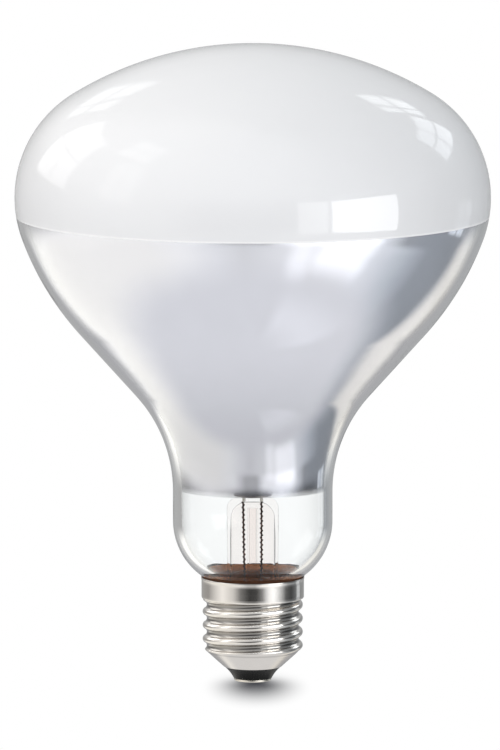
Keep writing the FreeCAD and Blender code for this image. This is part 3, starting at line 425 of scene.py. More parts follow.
class Section:
    """A half section in the XZ plane, drawn by dragging one vertex along lines and swinging it round arcs."""

    def __init__(self, name, across, up):
        deselect()
        bpy.ops.mesh.primitive_plane_add(size=MM)
        self.piece = bpy.context.object
        self.piece.name = self.piece.data.name = name
        bpy.ops.object.mode_set(mode="EDIT")
        bpy.ops.mesh.select_all(action="SELECT")
        bpy.ops.mesh.merge(type="CENTER")
        bpy.ops.transform.translate(value=(across, 0, up))
        self.across, self.up = across, up

    def to(self, across, up, steps=1):
        """Drags the vertex to a point, in one or more equal steps."""
        move = Vector((across - self.across, 0, up - self.up)) / steps
        for _ in range(steps):
            bpy.ops.mesh.extrude_region_move(TRANSFORM_OT_translate={"value": move})
        self.across, self.up = across, up

    def swing(self, centre, sweep, steps):
        """Swings the vertex round a centre. A positive sweep goes clockwise, seen from the front."""
        x, z = centre
        bpy.ops.mesh.spin(steps=steps, angle=-sweep, center=(x, 0, z), axis=(0, 1, 0))
        dx, dz = self.across - x, self.up - z
        self.across = x + dx * math.cos(sweep) + dz * math.sin(sweep)
        self.up = z - dx * math.sin(sweep) + dz * math.cos(sweep)

    def turn(self, steps, sharp):
        """Turns the section about the lamp's axis into a closed piece."""
        bpy.ops.mesh.select_all(action="SELECT")
        bpy.ops.mesh.remove_doubles(threshold=WELD)
        bpy.ops.mesh.spin(steps=steps, angle=FULL_TURN, center=(0, 0, 0), axis=(0, 0, 1))
        weld()
        bpy.ops.object.mode_set(mode="OBJECT")
        smooth(self.piece, sharp)
        return self.piece


class BulbSide:
    """The outline of the bulb's outside, or of a form inset from it."""

    def __init__(self, form, cap, inset=0.0):
        self.cone = form.cone_angle
        self.wrap = math.asin(form.shoulder_drop / form.shoulder_radius)
        self.turn_down = math.acos(1 - (form.neck_diameter / 2 - form.seat_radius) / form.bowl_radius)
        self.bowl_top = cap.height + form.bowl_radius * math.sin(self.turn_down)
        self.neck_top = self.bowl_top + form.neck_length
        neck = form.neck_diameter / 2
        shoulder_across = form.diameter / 2 - form.shoulder_radius
        gap = form.side_radius - form.shoulder_radius
        side_across = shoulder_across - gap * math.cos(self.wrap)
        run = (side_across + form.side_radius * math.cos(self.cone) - neck
               - form.throat_radius * (1 - math.cos(self.cone))) / math.sin(self.cone)
        side_up = (self.neck_top + run * math.cos(self.cone)
                   + (form.throat_radius + form.side_radius) * math.sin(self.cone))
        equator = side_up - gap * math.sin(self.wrap)
        face_reach = form.face_radius - form.shoulder_radius
        face_up = equator - math.sqrt(face_reach ** 2 - shoulder_across ** 2)
        reach = form.bowl_radius + form.seal_radius
        self.face = (0.0, face_up)
        self.shoulder = (shoulder_across, equator)
        self.side = (side_across, side_up)
        self.throat = (neck + form.throat_radius, self.neck_top)
        self.bowl = (neck - form.bowl_radius, self.bowl_top)
        self.seal = self.on_arc(self.bowl, reach, -self.turn_down)
        self.shoulder_radius = form.shoulder_radius - inset
        self.side_radius = form.side_radius - inset
        self.throat_radius = form.throat_radius + inset
        self.neck_across = neck - inset
        self.face_lean = math.atan2(equator - face_up, shoulder_across)
        self.apex = face_up + form.face_radius - inset
        self.run_start = self.on_arc(self.side, self.side_radius, -self.cone)
        self.run_end = self.on_arc(self.throat, self.throat_radius, HALF_TURN - self.cone)

    def dip(self, level):
        """How far round the shoulder, below the widest point, a level lies."""
        return math.asin((self.shoulder[1] - level) / self.shoulder_radius)

    @staticmethod
    def on_arc(centre, radius, at):
        """The point of an arc at an angle."""
        return centre[0] + radius * math.cos(at), centre[1] + radius * math.sin(at)

    def cone_strokes(self, dip, rise, steps):
        """Strokes from a place on the shoulder down the cone to a place in the throat."""
        return [("arc", self.shoulder, self.wrap - dip, steps),
                ("arc", self.side, self.cone - self.wrap, 26),
                ("line", self.run_start, self.run_end, 8),
                ("arc", self.throat, rise - self.cone, 24)]

    def strokes(self, edge):
        """Strokes from the apex to the cap's rim, with a ring at the frost's edge."""
        dip, across = self.dip(edge), self.neck_across
        return [("arc", self.face, QUARTER_TURN - self.face_lean, 36),
                ("arc", self.shoulder, self.face_lean + dip, 38),
                *self.cone_strokes(dip, 0.0, 8),
                ("line", (across, self.neck_top), (across, self.bowl_top), 4),
                ("arc", self.bowl, self.turn_down, 24),
                ("arc", self.seal, -self.turn_down, 8)]


def draw(section, strokes, upwards=False):
    """Draws strokes of the bulb: an arc's centre and sweep, or a line's upper and lower end, and the steps."""
    for kind, first, second, steps in reversed(strokes) if upwards else strokes:
        if kind == "arc":
            section.swing(first, -second if upwards else second, steps)
        else:
            section.to(*(first if upwards else second), steps=steps)


def frosted_face(form, finishes, edge_level):
    """Glossy glass over a soft white coat, a little whiter where the coat ends over the mirror."""
    made, graph = material("frosted_face")
    _, _, height = graph.axes(graph.place())
    cloud = graph.noise(60.0, 3.0)
    coat = graph.mixed(cloud, rgba(dimmed(finishes.frost, 0.985)), rgba(dimmed(finishes.frost, 1.012)))
    line = edge_level + form.frost_line
    edge = graph.step(height, line, line + form.frost_blend, 1.0, 0.0)
    graph.surface({
        "Base Color": graph.mixed(edge, coat, rgba(finishes.frost_line)),
        "Roughness": 0.45 + 0.12 * cloud,
        "Coat Weight": 1.0,
        "Coat Roughness": 0.035,
        "Coat IOR": 1.5,
        "Specular IOR Level": 0.2,
        "Normal": graph.bump(graph.noise(26.0, 1.0), 0.04, 0.004),
    })
    return made


def clear_glass(name, tint, bend, shine):
    """Smooth clear glass with faint waves: its index of refraction, and the share of light that it mirrors."""
    made, graph = material(name)
    graph.surface({
        "Base Color": rgba(tint),
        "Roughness": 0.0,
        "IOR": bend,
        "Specular Tint": rgba((shine, shine, shine)),
        "Transmission Weight": 1.0,
        "Normal": graph.bump(graph.noise(90.0, 1.0), 0.02, 0.002),
    })
    return made


def mirror_film(form, finishes, end_level):
    """Deposited aluminium with a soft bloom and faint run marks, thinning out at its lower edge, and darkened
    towards that edge by painted shade.
    """
    made, graph = material("mirror_film")
    _, _, height = graph.axes(graph.place())
    streaks = graph.noise(140.0, 3.0, graph.stretched((1.0, 1.0, 0.12)))
    bloom = graph.noise(34.0, 2.0)
    # Painted shade: none from one height up, growing to full towards the mirror's lower edge.
    out_of_painted_shade = graph.step(height, end_level + form.film_full_shade, end_level + form.film_shade_end)
    full = graph.mixed(streaks, rgba(dimmed(finishes.mirror, 0.98)), rgba(dimmed(finishes.mirror, 1.02)))
    graph.surface({
        "Base Color": graph.mixed(out_of_painted_shade, rgba(dimmed(finishes.mirror, 0.78)), full),
        "Metallic": 1.0,
        "Roughness": 0.03 + 0.03 * bloom + 0.03 * streaks,
        "Alpha": graph.step(height, end_level, end_level + form.film_fade, 0.3, 1.0),
        "Normal": graph.bump(bloom, 0.05, 0.002),
    })
    return made


class LAMP_OT_bulb(bpy.types.Operator):
    """Blow the glass bulb and lay the mirror inside its cone"""

    bl_idname = "lamp.bulb"
    bl_label = "Glass bulb and mirror"

    def execute(self, context):
        form, cap, _, finishes, _ = forms()
        outside, inside = BulbSide(form, cap), BulbSide(form, cap, form.wall)
        tail = node_bottom("glass_bulb")
        edge_level, end_level = node_top("reflector_film"), node_bottom("reflector_film")
        frost_edge = edge_level - form.frost_overlap
        section = Section("blown_glass", 0.0, outside.apex)
        draw(section, outside.strokes(frost_edge))
        section.to(section.across, tail)
        section.to(section.across - form.wall, tail)
        section.to(section.across, inside.seal[1])
        draw(section, inside.strokes(frost_edge), upwards=True)
        glass = section.turn(form.ring_steps, 50.0)
        # The paler band just below the rim is a thinly spread cement smear with painted glare.
        thin_glare = (finishes.thin_cement_glare, cap.height - form.thin_glare_depth, form.thin_glare_blend)
        for finish in (clear_glass("neck_glass", finishes.glass, 1.5, 0.15),
                       frosted_face(form, finishes, frost_edge),
                       baked_cement("cement_on_glass", dimmed(finishes.cement, 0.4), thin_glare)):
            glass.data.materials.append(finish)
        clear, frosted, cemented = range(3)
        for face in glass.data.polygons:
            stuck = outward(face) > 0 and face.center.z < cap.height - form.cement_depth
            face.material_index = frosted if face.center.z > frost_edge else cemented if stuck else clear
        seat(glass, None, "glass_bulb")

        gap = form.wall + form.film_gap
        near, far = BulbSide(form, cap, gap), BulbSide(form, cap, gap + form.film_wall)
        (near_dip, near_rise), (far_dip, far_rise) = (
            (side.dip(edge_level), math.asin((end_level - side.neck_top) / side.throat_radius))
            for side in (near, far))
        start = near.on_arc(near.shoulder, near.shoulder_radius, -near_dip)
        section = Section("mirror_film", *start)
        draw(section, near.cone_strokes(near_dip, near_rise, 10))
        section.to(*far.on_arc(far.throat, far.throat_radius, HALF_TURN - far_rise))
        draw(section, far.cone_strokes(far_dip, far_rise, 10), upwards=True)
        section.to(*start)
        seat(section.turn(form.ring_steps, 50.0), mirror_film(form, finishes, end_level), "reflector_film")
        return {"FINISHED"}


def pinch(piece, form, press_top):
    """Presses the top of the stem flat between two jaws, with a soft ramp below."""
    start = press_top - form.press_height
    foot = start - form.press_ramp
    for vertex in piece.data.vertices:
        height = vertex.co.z
        if height <= foot:
            continue
        progress = min(1.0, (height - foot) / form.press_ramp)
        eased = progress * progress * (3 - 2 * progress)
        limit = form.stem_radius + (form.press_half - form.stem_radius) * eased
        vertex.co.y *= limit / form.stem_radius


def flared_stem(form):
    """The glass tube with its flare at the cap and the press at its top, hollow up to the press."""
    low, top = node_bottom("stem_tube"), node_top("stem_tube")
    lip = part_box("stem_tube")[1].x
    radius, bore = form.stem_radius, form.stem_radius - form.stem_wall
    spread = math.acos(1 - (lip - radius) / form.flare_radius)
    centre = (radius + form.flare_radius, low + form.flare_radius * math.sin(spread))
    outer = form.flare_radius + form.stem_wall
    inner_spread = math.asin(form.flare_radius * math.sin(spread) / outer)
    round_top, bore_round = form.press_round, form.bore_round
    bore_end = top - form.bore_drop
    section = Section("stem_glass", centre[0] - outer * math.cos(inner_spread), low)
    section.to(lip, low)
    section.swing(centre, spread, 10)
    section.to(radius, top - round_top, steps=14)
    section.swing((radius - round_top, top - round_top), -QUARTER_TURN, 8)
    section.to(0.0, top, steps=4)
    section.to(0.0, bore_end)
    section.to(bore - bore_round, bore_end, steps=4)
    section.swing((bore - bore_round, bore_end - bore_round), QUARTER_TURN, 10)
    section.to(bore, centre[1], steps=10)
    section.swing(centre, -inner_spread, 10)
    stem = section.turn(96, 40.0)
    pinch(stem, form, top)
    return stem


def exhaust_tube(form):
    """The thin tube on the axis, melted shut at its lower end."""
    low, top = node_bottom("exhaust_tube"), node_top("exhaust_tube")
    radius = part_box("exhaust_tube")[1].x
    bore = radius - form.exhaust_wall
    section = Section("exhaust_tube", 0.0, low)
    section.swing((0.0, low + radius), -QUARTER_TURN, 8)
    section.to(radius, top, steps=8)
    section.to(bore, top)
    section.to(bore, low + radius, steps=8)
    section.swing((0.0, low + radius), QUARTER_TURN, 8)
    return section.turn(40, 40.0)


def arbor_rod(form):
    """The rod that stands on the press, with a foot and a round button."""
    low, top = node_bottom("arbor_rod"), node_top("arbor_rod")
    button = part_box("arbor_rod")[1].x
    rod, foot, foot_top = form.rod_radius, form.foot_radius, low + form.foot_height
    neck = math.acos(rod / button)
    section = Section("arbor_rod", 0.0, low)
    section.to(foot, low)
    section.to(foot, foot_top)
    section.to(rod, foot_top)
    section.to(rod, top - button - button * math.sin(neck), steps=8)
    section.swing((0.0, top - button), -neck - QUARTER_TURN, 16)
    return section.turn(40, 40.0)


class LAMP_OT_stem(bpy.types.Operator):
    """Draw the glass stem, its exhaust tube and the arbor rod"""

    bl_idname = "lamp.stem"
    bl_label = "Stem, exhaust tube and arbor"

    def execute(self, context):
        _, _, form, finishes, _ = forms()
        finish = clear_glass("stem_glass", finishes.stem_glass, 1.05, 0.5)
        seat(flared_stem(form), finish, "stem_tube")
        seat(exhaust_tube(form), finish, "exhaust_tube")
        seat(arbor_rod(form), finish, "arbor_rod")
        return {"FINISHED"}


def tool_marks(graph):
    """Two noises of worked metal: fine lines round the axis, and uneven tarnish."""
    return graph.noise(900.0, 2.0, graph.stretched((0.04, 0.04, 2.0))), graph.noise(260.0, 3.0)


def turned_metal(name, tint, roughness):
    """Metal with fine lines from the tool that turned it and a little uneven tarnish."""
    made, graph = material(name)
    lines, tarnish = tool_marks(graph)
    graph.surface({
        "Base Color": graph.mixed(tarnish, rgba(dimmed(tint, 0.9)), rgba(dimmed(tint, 1.05))),
        "Metallic": 1.0,
        "Roughness": roughness + 0.03 * lines + 0.05 * tarnish,
        "Normal": graph.bump(lines, 0.06, 0.0002),
    })
    return made


def rolled_nickel(form, finishes):
    """Bright plating, a darker brown-grey in the thread's roots: tarnish and painted shade."""
    made, graph = material("nickel_plate")
    across, along, height = graph.axes(graph.place())
    out = (across * across + along * along) ** 0.5
    lines, tarnish = tool_marks(graph)
    # Tarnish and painted shade: one in the thread's roots, falling to nothing towards the crests.
    root_tarnish_and_shade = graph.step(out, form.root_radius - 0.05 * MM, form.root_radius + 0.5 * MM, 1.0, 0.0)
    threaded = (graph.step(height, form.cone_top - 0.4 * MM, form.cone_top + 0.6 * MM)
                * graph.step(height, form.skirt_end - 0.3 * MM, form.skirt_end, 1.0, 0.0))
    plate = graph.mixed(tarnish, rgba(dimmed(finishes.nickel, 0.94)), rgba(dimmed(finishes.nickel, 1.04)))
    graph.surface({
        "Base Color": graph.mixed(root_tarnish_and_shade * threaded, plate, rgba(dimmed(finishes.nickel, 0.36))),
        "Metallic": 1.0,
        "Roughness": 0.1 + 0.03 * lines + 0.04 * tarnish,
        "Normal": graph.bump(lines, 0.05, 0.0002),
    })
    return made


def mottled(name, tint, grain, shades, rough, relief, constants):
    """A finish that follows one noise: the noise's scale and detail, the shades and the roughness that it mixes,
    and its relief's strength and distance."""
    made, graph = material(name)
    noise = graph.noise(*grain)
    low, high = shades
    graph.surface({
        "Base Color": graph.mixed(noise, rgba(dimmed(tint, low)), rgba(dimmed(tint, high))),
        "Roughness": rough[0] + rough[1] * noise,
        "Normal": graph.bump(noise, *relief),
        **constants,
    })
    return made


def rough_metal(name, tint, roughness, scale):
    """Dull metal with a mottled skin."""
    return mottled(name, tint, (scale, 4.0), (0.65, 1.25), (roughness, 0.2), (0.2, 0.0001), {"Metallic": 1.0})


def baked_cement(name, tint, thin_glare=None):
    """Orange-brown grainy cement, darker in its pits. Where it is thinly spread, it takes a paler shade from a
    level upwards: painted glare.
    """
    made, graph = material(name)
    grain = graph.noise(1500.0, 4.0)
    patches = graph.noise(220.0, 2.0)
    base = graph.mixed(patches, rgba(dimmed(tint, 0.55)), rgba(dimmed(tint, 1.25)))
    if thin_glare:
        # Painted glare: a paler shade from a level upwards.
        shade, level, blend = thin_glare
        _, _, height = graph.axes(graph.place())
        base = graph.mixed(graph.step(height, level, level + blend), base, rgba(shade))
    pits = graph.step(grain, 0.35, 0.5, 1.0, 0.0)
    graph.surface({
        "Base Color": graph.mixed(0.4 * pits, base, rgba(dimmed(tint, 0.25))),
        "Roughness": 0.65 + 0.2 * grain,
        "Specular IOR Level": 0.2,
        "Normal": graph.bump(grain, 0.5, 0.0002),
    })
    return made


def wire_piece(name, route, bevel, turns=0.0, resolution=12):
    """A wire along a route, as a mesh: round with a radius, or with a bevel curve that makes some turns."""
    deselect()
    bpy.ops.curve.primitive_bezier_curve_add()
    piece = bpy.context.object
    piece.name = piece.data.name = name
    curve = piece.data
    spline = curve.splines[0]
    spline.bezier_points.add(len(route) - 2)
    tilt = 0.0
    for point, (place, before, after, stretch) in zip(spline.bezier_points, route):
        point.handle_left_type = point.handle_right_type = "FREE"
        point.co = place
        point.handle_left = before
        point.handle_right = after
        tilt += stretch * turns * FULL_TURN
        point.tilt = tilt
    spline.tilt_interpolation = "LINEAR"
    spline.resolution_u = resolution
    curve.dimensions = "3D"
    curve.twist_mode = "MINIMUM"
    curve.use_fill_caps = True
    if isinstance(bevel, float):
        curve.bevel_depth = bevel
        curve.bevel_resolution = 3
    else:
        curve.bevel_mode = "OBJECT"
        curve.bevel_object = bevel
    bpy.ops.object.convert(target="MESH")
    piece = bpy.context.object
    bpy.ops.object.mode_set(mode="EDIT")
    weld()
    bpy.ops.object.mode_set(mode="OBJECT")
    smooth(piece, 50.0)
    return piece


def route_of(points, shares=None):
    """Bezier points whose stretches bend softly at each inner point, and the turns' share of each stretch."""
    points = [Vector(point) for point in points]
    route = []
    for index, point in enumerate(points):
        before = points[index - 1] if index else point
        after = points[index + 1] if index + 1 < len(points) else point
        along = (after - before).normalized()
        reach_before, reach_after = (point - before).length / 3, (after - point).length / 3
        stretch = shares[index] if shares else 0.0
        route.append((point, point - along * reach_before, point + along * reach_after, stretch))
    return route


def strand_section(form):
    """The outline of two strands side by side, set off its own line so that a twisted lead winds."""
    deselect()
    bpy.ops.curve.primitive_bezier_circle_add(radius=form.lead_radius)
    strands = bpy.context.object
    spline = strands.data.splines[0]
    for point in spline.bezier_points:
        outer = abs(point.co.x) > abs(point.co.y)
        pull, spread = (1.0, 0.62) if outer else (form.lead_flat, 0.35)
        point.co *= pull
        for side in ("handle_left", "handle_right"):
            offset = getattr(point, side) - point.co / pull
            setattr(point, side, point.co + offset * spread)
    for point in spline.bezier_points:
        for part in ("co", "handle_left", "handle_right"):
            setattr(point, part, getattr(point, part) + Vector((form.lead_kink, 0, 0)))
    spline.resolution_u = 5
    return strands


# Bends of the left lead: millimetres above its lower end, and the share of its turns since the bend before.
LEFT_BENDS = ((0, 0.0), (8, 0.17), (15, 0.16), (18, 0.07))
LAST_TURNS = 0.6
LEAD_RESOLUTION = 150


class LAMP_OT_leads(bpy.types.Operator):
    """Twist the dark leads below the press and bend the stiff leads above it"""

    bl_idname = "lamp.leads"
    bl_label = "Leads"

    def execute(self, context):
        _, _, form, finishes, _ = forms()
        strands = strand_section(form)
        dark = mottled("dark_lead", finishes.lead, (700.0, 3.0), (0.5, 1.9), (0.4, 0.25), (0.2, 0.0001),
                       {"Metallic": 0.2})
        across, sway, bend, rise = form.lead_offset, form.lead_sway, form.lead_bend, form.lead_end
        joint = node_top("left_outer_lead")

        floor = node_bottom("left_outer_lead")
        heights = [floor + height * MM for height, _ in LEFT_BENDS] + [joint]
        places = [0.0, 0.0, sway - across, sway - across, -across - sway]
        twist = [part for _, part in LEFT_BENDS] + [LAST_TURNS]
        route = route_of([(place, 0, height) for place, height in zip(places, heights)], twist)
        turns = (joint - floor) / form.strand_pitch
        lead = wire_piece("left_outer_lead", route, strands, turns, LEAD_RESOLUTION)
        seat(lead, dark, "left_outer_lead")

        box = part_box("right_outer_lead")
        low, outside = box[0].z + form.lead_radius, box[1].x - form.lead_radius
        points = [(across, 0, joint), (across, 0, low + 2.5 * bend), (across, 0, low + bend),
                  (across + bend, 0, low), (outside - bend, 0, low), (outside, 0, low + bend),
                  (outside, 0, rise)]
        run = (joint - low) + (outside - across) + (rise - low)
        twist = [0.0] + [(Vector(b) - Vector(a)).length / run for a, b in zip(points, points[1:])]
        turns = run / form.strand_pitch
        lead = wire_piece("right_outer_lead", route_of(points, twist), strands, turns, LEAD_RESOLUTION)
        seat(lead, dark, "right_outer_lead")
        bpy.data.objects.remove(strands)

        nickel = turned_metal("nickel_wire", finishes.wire, 0.25)
        start_run, start_bend, end_bend, end_run = 8.8 * MM, 11 * MM, 6 * MM, 4 * MM
        for name, side in (("left_inner_lead", -1), ("right_inner_lead", 1)):
            low, high = node_bottom(name), node_top(name)
            start, end = side * across, side * form.arch_radius
            ease = (end - start) * 0.06
            radius = (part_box(name)[1].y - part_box(name)[0].y) / 2
            points = [(start, 0, low), (start, 0, low + start_run), (start + ease, 0, low + start_bend),
                      (end - ease, 0, high - end_bend), (end, 0, high - end_run), (end, 0, high)]
            seat(wire_piece(name, route_of(points), radius), nickel, name)
        return {"FINISHED"}


def wound_coil(form, base):
    """A coil of fine wire, wound straight and then bent into an arch over a base level."""
    run = HALF_TURN * form.arch_radius
    turns = int(run / form.coil_pitch)
    wire_sides = 6
    deselect()
    bpy.ops.mesh.primitive_circle_add(
        vertices=wire_sides, radius=form.coil_wire, location=(form.coil_radius - form.coil_wire, 0, 0),
        rotation=(QUARTER_TURN, 0, 0))
    coil = bpy.context.object
    coil.name = coil.data.name = "coiled_filament"
    bpy.ops.object.transform_apply(location=True, rotation=True, scale=True)
    bpy.ops.object.modifier_add(type="SCREW")
    screw = coil.modifiers[-1]
    screw.axis = "Z"
    screw.angle = FULL_TURN
    screw.screw_offset = run / turns
    screw.iterations = turns
    screw.steps = screw.render_steps = 14
    bpy.ops.object.modifier_apply(modifier=screw.name)
    bpy.ops.object.mode_set(mode="EDIT")
    weld(wire_sides)
    bpy.ops.object.mode_set(mode="OBJECT")
    for vertex in coil.data.vertices:
        at = HALF_TURN - vertex.co.z / form.arch_radius
        reach = form.arch_radius + vertex.co.x
        vertex.co = (reach * math.cos(at), vertex.co.y, base + reach * math.sin(at))
    smooth(coil, 60.0)
    return coil


def support_hook(form, base, lean):
    """A wire from the button to the arch, bent round the coil, at a lean from upright."""
    eye = form.coil_radius + form.hook_gap + form.hook_wire
    start = math.sqrt(form.button_radius ** 2 - (eye - form.hook_wire) ** 2)
    points = [(eye, start), (eye, form.arch_radius)]
    for step in range(40, 281, 40):
        at = math.radians(step)
        points.append((eye * math.cos(at), form.arch_radius + eye * math.sin(at)))
    turned = [(up * math.sin(lean), along, base + up * math.cos(lean)) for along, up in points]
    return wire_piece("support_hook", route_of(turned), form.hook_wire, resolution=5)


class LAMP_OT_filament(bpy.types.Operator):
    """Coil the filament, bend it into its arch and hook its supports round it"""

    bl_idname = "lamp.filament"
    bl_label = "Filament and supports"

    def execute(self, context):
        _, _, form, finishes, _ = forms()
        base = node_bottom("filament")
        coil = wound_coil(form, base)
        tungsten = rough_metal("tungsten", finishes.tungsten, 0.35, 900.0)
        seat(coil, tungsten, "filament")

        hooks = [support_hook(form, base, math.radians(lean)) for lean in (-45.0, 0.0, 45.0)]
        deselect()
        for hook in hooks:
            hook.select_set(True)
        context.view_layer.objects.active = hooks[0]
        bpy.ops.object.join()
        supports = context.object
        supports.name = supports.data.name = "filament_supports"
        seat(supports, tungsten, "filament_supports")
        return {"FINISHED"}


# Height of the squeezed-out cement: its mean share of the rise, then the waves round the rim, with their start
# and their share.
BEAD_MEAN = 0.56
BEAD_WAVES = ((1, 0.0, -0.44), (5, 1.0, 0.08), (13, 0.0, 0.05))


def cement_bead(form, cap):
    """The cement that was squeezed out between the rim and the glass, thicker at the front."""
    side = BulbSide(form, cap)
    low, top = cap.height - form.bead_sink, cap.height + form.bead_rise
    rim = cap.skirt_radius - cap.wall / 2
    glass, seal = form.bowl_radius + form.bead_skin, form.seal_radius - form.bead_skin

    def on_glass(level):
        """How far from the axis the bead touches the glass at a level."""
        return side.bowl[0] + math.sqrt(glass ** 2 - (side.bowl_top - level) ** 2)

    lean = math.asin((side.bowl_top - top) / glass)
    sink = math.asin((low - side.seal[1]) / seal)
    section = Section("cement_bead", *side.on_arc(side.seal, seal, HALF_TURN - sink))
    section.to(cap.skirt_radius - cap.wall - form.bead_gap, low)
    section.to(rim, cap.height, steps=2)
    section.to((rim + on_glass(top)) / 2 + form.bead_bulge, cap.height + form.bead_rise / 2, steps=3)
    section.to(on_glass(top), top, steps=3)
    section.swing(side.bowl, side.turn_down - lean, 6)
    section.swing(side.seal, sink + side.turn_down - HALF_TURN, 4)
    bead = section.turn(cap.ring_steps, 50.0)
    for vertex in bead.data.vertices:
        rise = vertex.co.z - cap.height
        if rise > 0:
            at = math.atan2(vertex.co.y, vertex.co.x)
            height = BEAD_MEAN + sum(part * math.sin(waves * at + start) for waves, start, part in BEAD_WAVES)
            level = cap.height + rise * height
            across = math.hypot(vertex.co.x, vertex.co.y)
            new = across + on_glass(level) - on_glass(vertex.co.z)
            vertex.co = (vertex.co.x * new / across, vertex.co.y * new / across, level)
    return bead


class LAMP_OT_shield(bpy.types.Operator):
    """Finish the heat shield and the cement ring, whose CAD forms stay, and lay the bead on the rim"""

    bl_idname = "lamp.shield"
    bl_label = "Heat shield and cement"

    def execute(self, context):
        bulb, cap, _, finishes, _ = forms()
        for node, finish in (("heat_shield", rough_metal("tinted_sheet", finishes.shield, 0.4, 420.0)),
                             ("basing_cement", baked_cement("baked_cement", finishes.cement))):
            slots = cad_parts[node].data.materials
            slots.clear()
            slots.append(finish)
        bead = cement_bead(bulb, cap)
        # The bead's cement is drawn far darker than the ring's: its own brown with painted shade of the gap
        # between rim and glass.
        bead.data.materials.append(baked_cement("cement_and_rim_shade", dimmed(finishes.cement, 0.09)))
        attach(bead, "root")
        return {"FINISHED"}


def cone_slope(form):
    """How fast the cone above the shell's lower end widens upwards."""
    return (form.root_radius - form.foot_radius) / (form.cone_top - form.foot_level)


def thread_radius(form, at, level):
    """Outside radius of the rolled shell below the skirt, at an angle round the axis and a level."""
    depth = form.crest_radius - form.root_radius
    flank = 2 * math.atan(2 * depth / form.pitch)
    bend = form.pitch / 4 / math.sin(flank)
    along = ((level - form.thread_start) / form.pitch - at / FULL_TURN + 0.5) % 1.0 - 0.5
    drop = abs(along) * form.pitch
    if drop < form.pitch / 4:
        wave = form.crest_radius - bend + math.sqrt(bend ** 2 - drop ** 2)
    else:
        wave = form.root_radius + bend - math.sqrt(bend ** 2 - (form.pitch / 2 - drop) ** 2)
    cone = form.foot_radius + (level - form.foot_level) * cone_slope(form)
    blend = form.cone_blend
    share_of_cone = min(1.0, max(0.0, 0.5 + (wave - cone) / (2 * blend)))
    return wave + (cone - wave) * share_of_cone - blend * share_of_cone * (1 - share_of_cone)


class LAMP_OT_shell(bpy.types.Operator):
    """Draw the cap's shell and roll the thread into its sheet"""

    bl_idname = "lamp.shell"
    bl_label = "Screw shell"

    def execute(self, context):
        _, form, _, finishes, _ = forms()
        skirt, root, wall = form.skirt_radius, form.root_radius, form.wall
        corner, lip = form.corner, wall / 2
        rim, lip_start = skirt + form.lip_flare, form.height - form.lip_height
        foot, skirt_end, slack = form.foot_level, form.skirt_end, 10 * WELD
        section = Section("screw_shell", root, foot)
        section.to(root, skirt_end, steps=form.thread_steps)
        section.to(skirt - corner, skirt_end, steps=3)
        section.swing((skirt - corner, skirt_end + corner), -QUARTER_TURN, 6)
        section.to(skirt, lip_start, steps=6)
        section.to(rim, form.height - lip, steps=2)
        section.swing((rim - lip, form.height - lip), -HALF_TURN, 8)
        section.to(skirt - wall, lip_start, steps=2)
        section.to(skirt - wall, skirt_end + wall + corner, steps=6)
        section.to(skirt - wall - corner, skirt_end + wall, steps=3)
        section.to(root - wall, skirt_end + wall, steps=3)
        section.to(root - wall, foot, steps=form.thread_steps // 3)
        section.to(root, foot)
        shell = section.turn(form.ring_steps, 60.0)
        for vertex in shell.data.vertices:
            across = math.hypot(vertex.co.x, vertex.co.y)
            if vertex.co.z < skirt_end + wall * 1.5 and across < root + slack:
                inner = wall if across < root - wall / 2 else 0.0
                at = math.atan2(vertex.co.y, vertex.co.x)
                new = thread_radius(form, at, min(vertex.co.z, skirt_end)) - inner
                vertex.co.x *= new / across
                vertex.co.y *= new / across
        smooth(shell, 60.0)
        shell.data.materials.append(rolled_nickel(form, finishes))
        shell.data.materials.append(baked_cement("cement_smear", dimmed(finishes.cement, 0.8)))
        plated, smeared = range(2)
        for face in shell.data.polygons:
            inside = outward(face) < 0 and face.center.z < form.height - wall
            face.material_index = smeared if inside else plated
        seat(shell, None, "cap_shell")
        return {"FINISHED"}


def moulded_insulator(form):
    """The black glass that closes the shell, with a hollow side down to the contact."""
    low, top = node_bottom("cap_insulator"), node_top("cap_insulator")
    shoulder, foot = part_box("cap_insulator")[1].x, form.foot_level
    flange, tip, bore = form.flange_radius, form.tip_radius, form.bore_radius
    drop, step = foot - low, flange - tip
    chord, bend = math.hypot(step, drop), form.flare_bend
    reach = chord / 2 / math.tan(bend / 2)
    hollow = ((tip + flange) / 2 + reach * drop / chord, (low + foot) / 2 - reach * step / chord)
    section = Section("black_insulator", bore, low)
    section.to(tip, low, steps=3)
    section.swing(hollow, bend, 16)
    section.to(shoulder - (top - foot) * cone_slope(form), foot, steps=2)
    section.to(shoulder, top)
    section.to(bore, top, steps=3)
    section.to(bore, low)
    return section.turn(96, 40.0)


def contact_plate(form):
    """The flat plate under the insulator, with a rounded lower edge."""
    low, top = node_bottom("centre_contact"), node_top("centre_contact")
    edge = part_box("centre_contact")[1].x
    hole, corner = form.plate_hole, form.plate_corner
    section = Section("contact_plate", hole, low)
    section.to(edge - corner, low, steps=4)
    section.swing((edge - corner, low + corner), -QUARTER_TURN, 6)
    section.to(edge, top)
    section.to(hole, top, steps=4)
    section.to(hole, low)
    return section.turn(72, 40.0)


def solder_bead(form):
    """The drop of solder under the plate, a little out of round."""
    low, top = node_bottom("contact_solder"), node_top("contact_solder")
    edge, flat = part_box("contact_solder")[1].x, form.solder_flat
    rise, step = top - low, edge - flat
    swell = (step ** 2 + rise ** 2) / (2 * rise)
    section = Section("solder_bead", 0.0, low)
    section.to(flat, low, steps=4)
    section.swing((flat, low + swell), -math.asin(step / swell), 8)
    section.to(0.0, top, steps=4)
    solder = section.turn(48, 40.0)
    for vertex in solder.data.vertices:
        at = math.atan2(vertex.co.y, vertex.co.x)
        wobble = 1 - 0.05 * (1 + math.sin(3 * at + 0.6)) * (0.5 + 0.5 * math.sin(2 * at))
        vertex.co.x *= wobble
        vertex.co.y *= wobble
    return solder


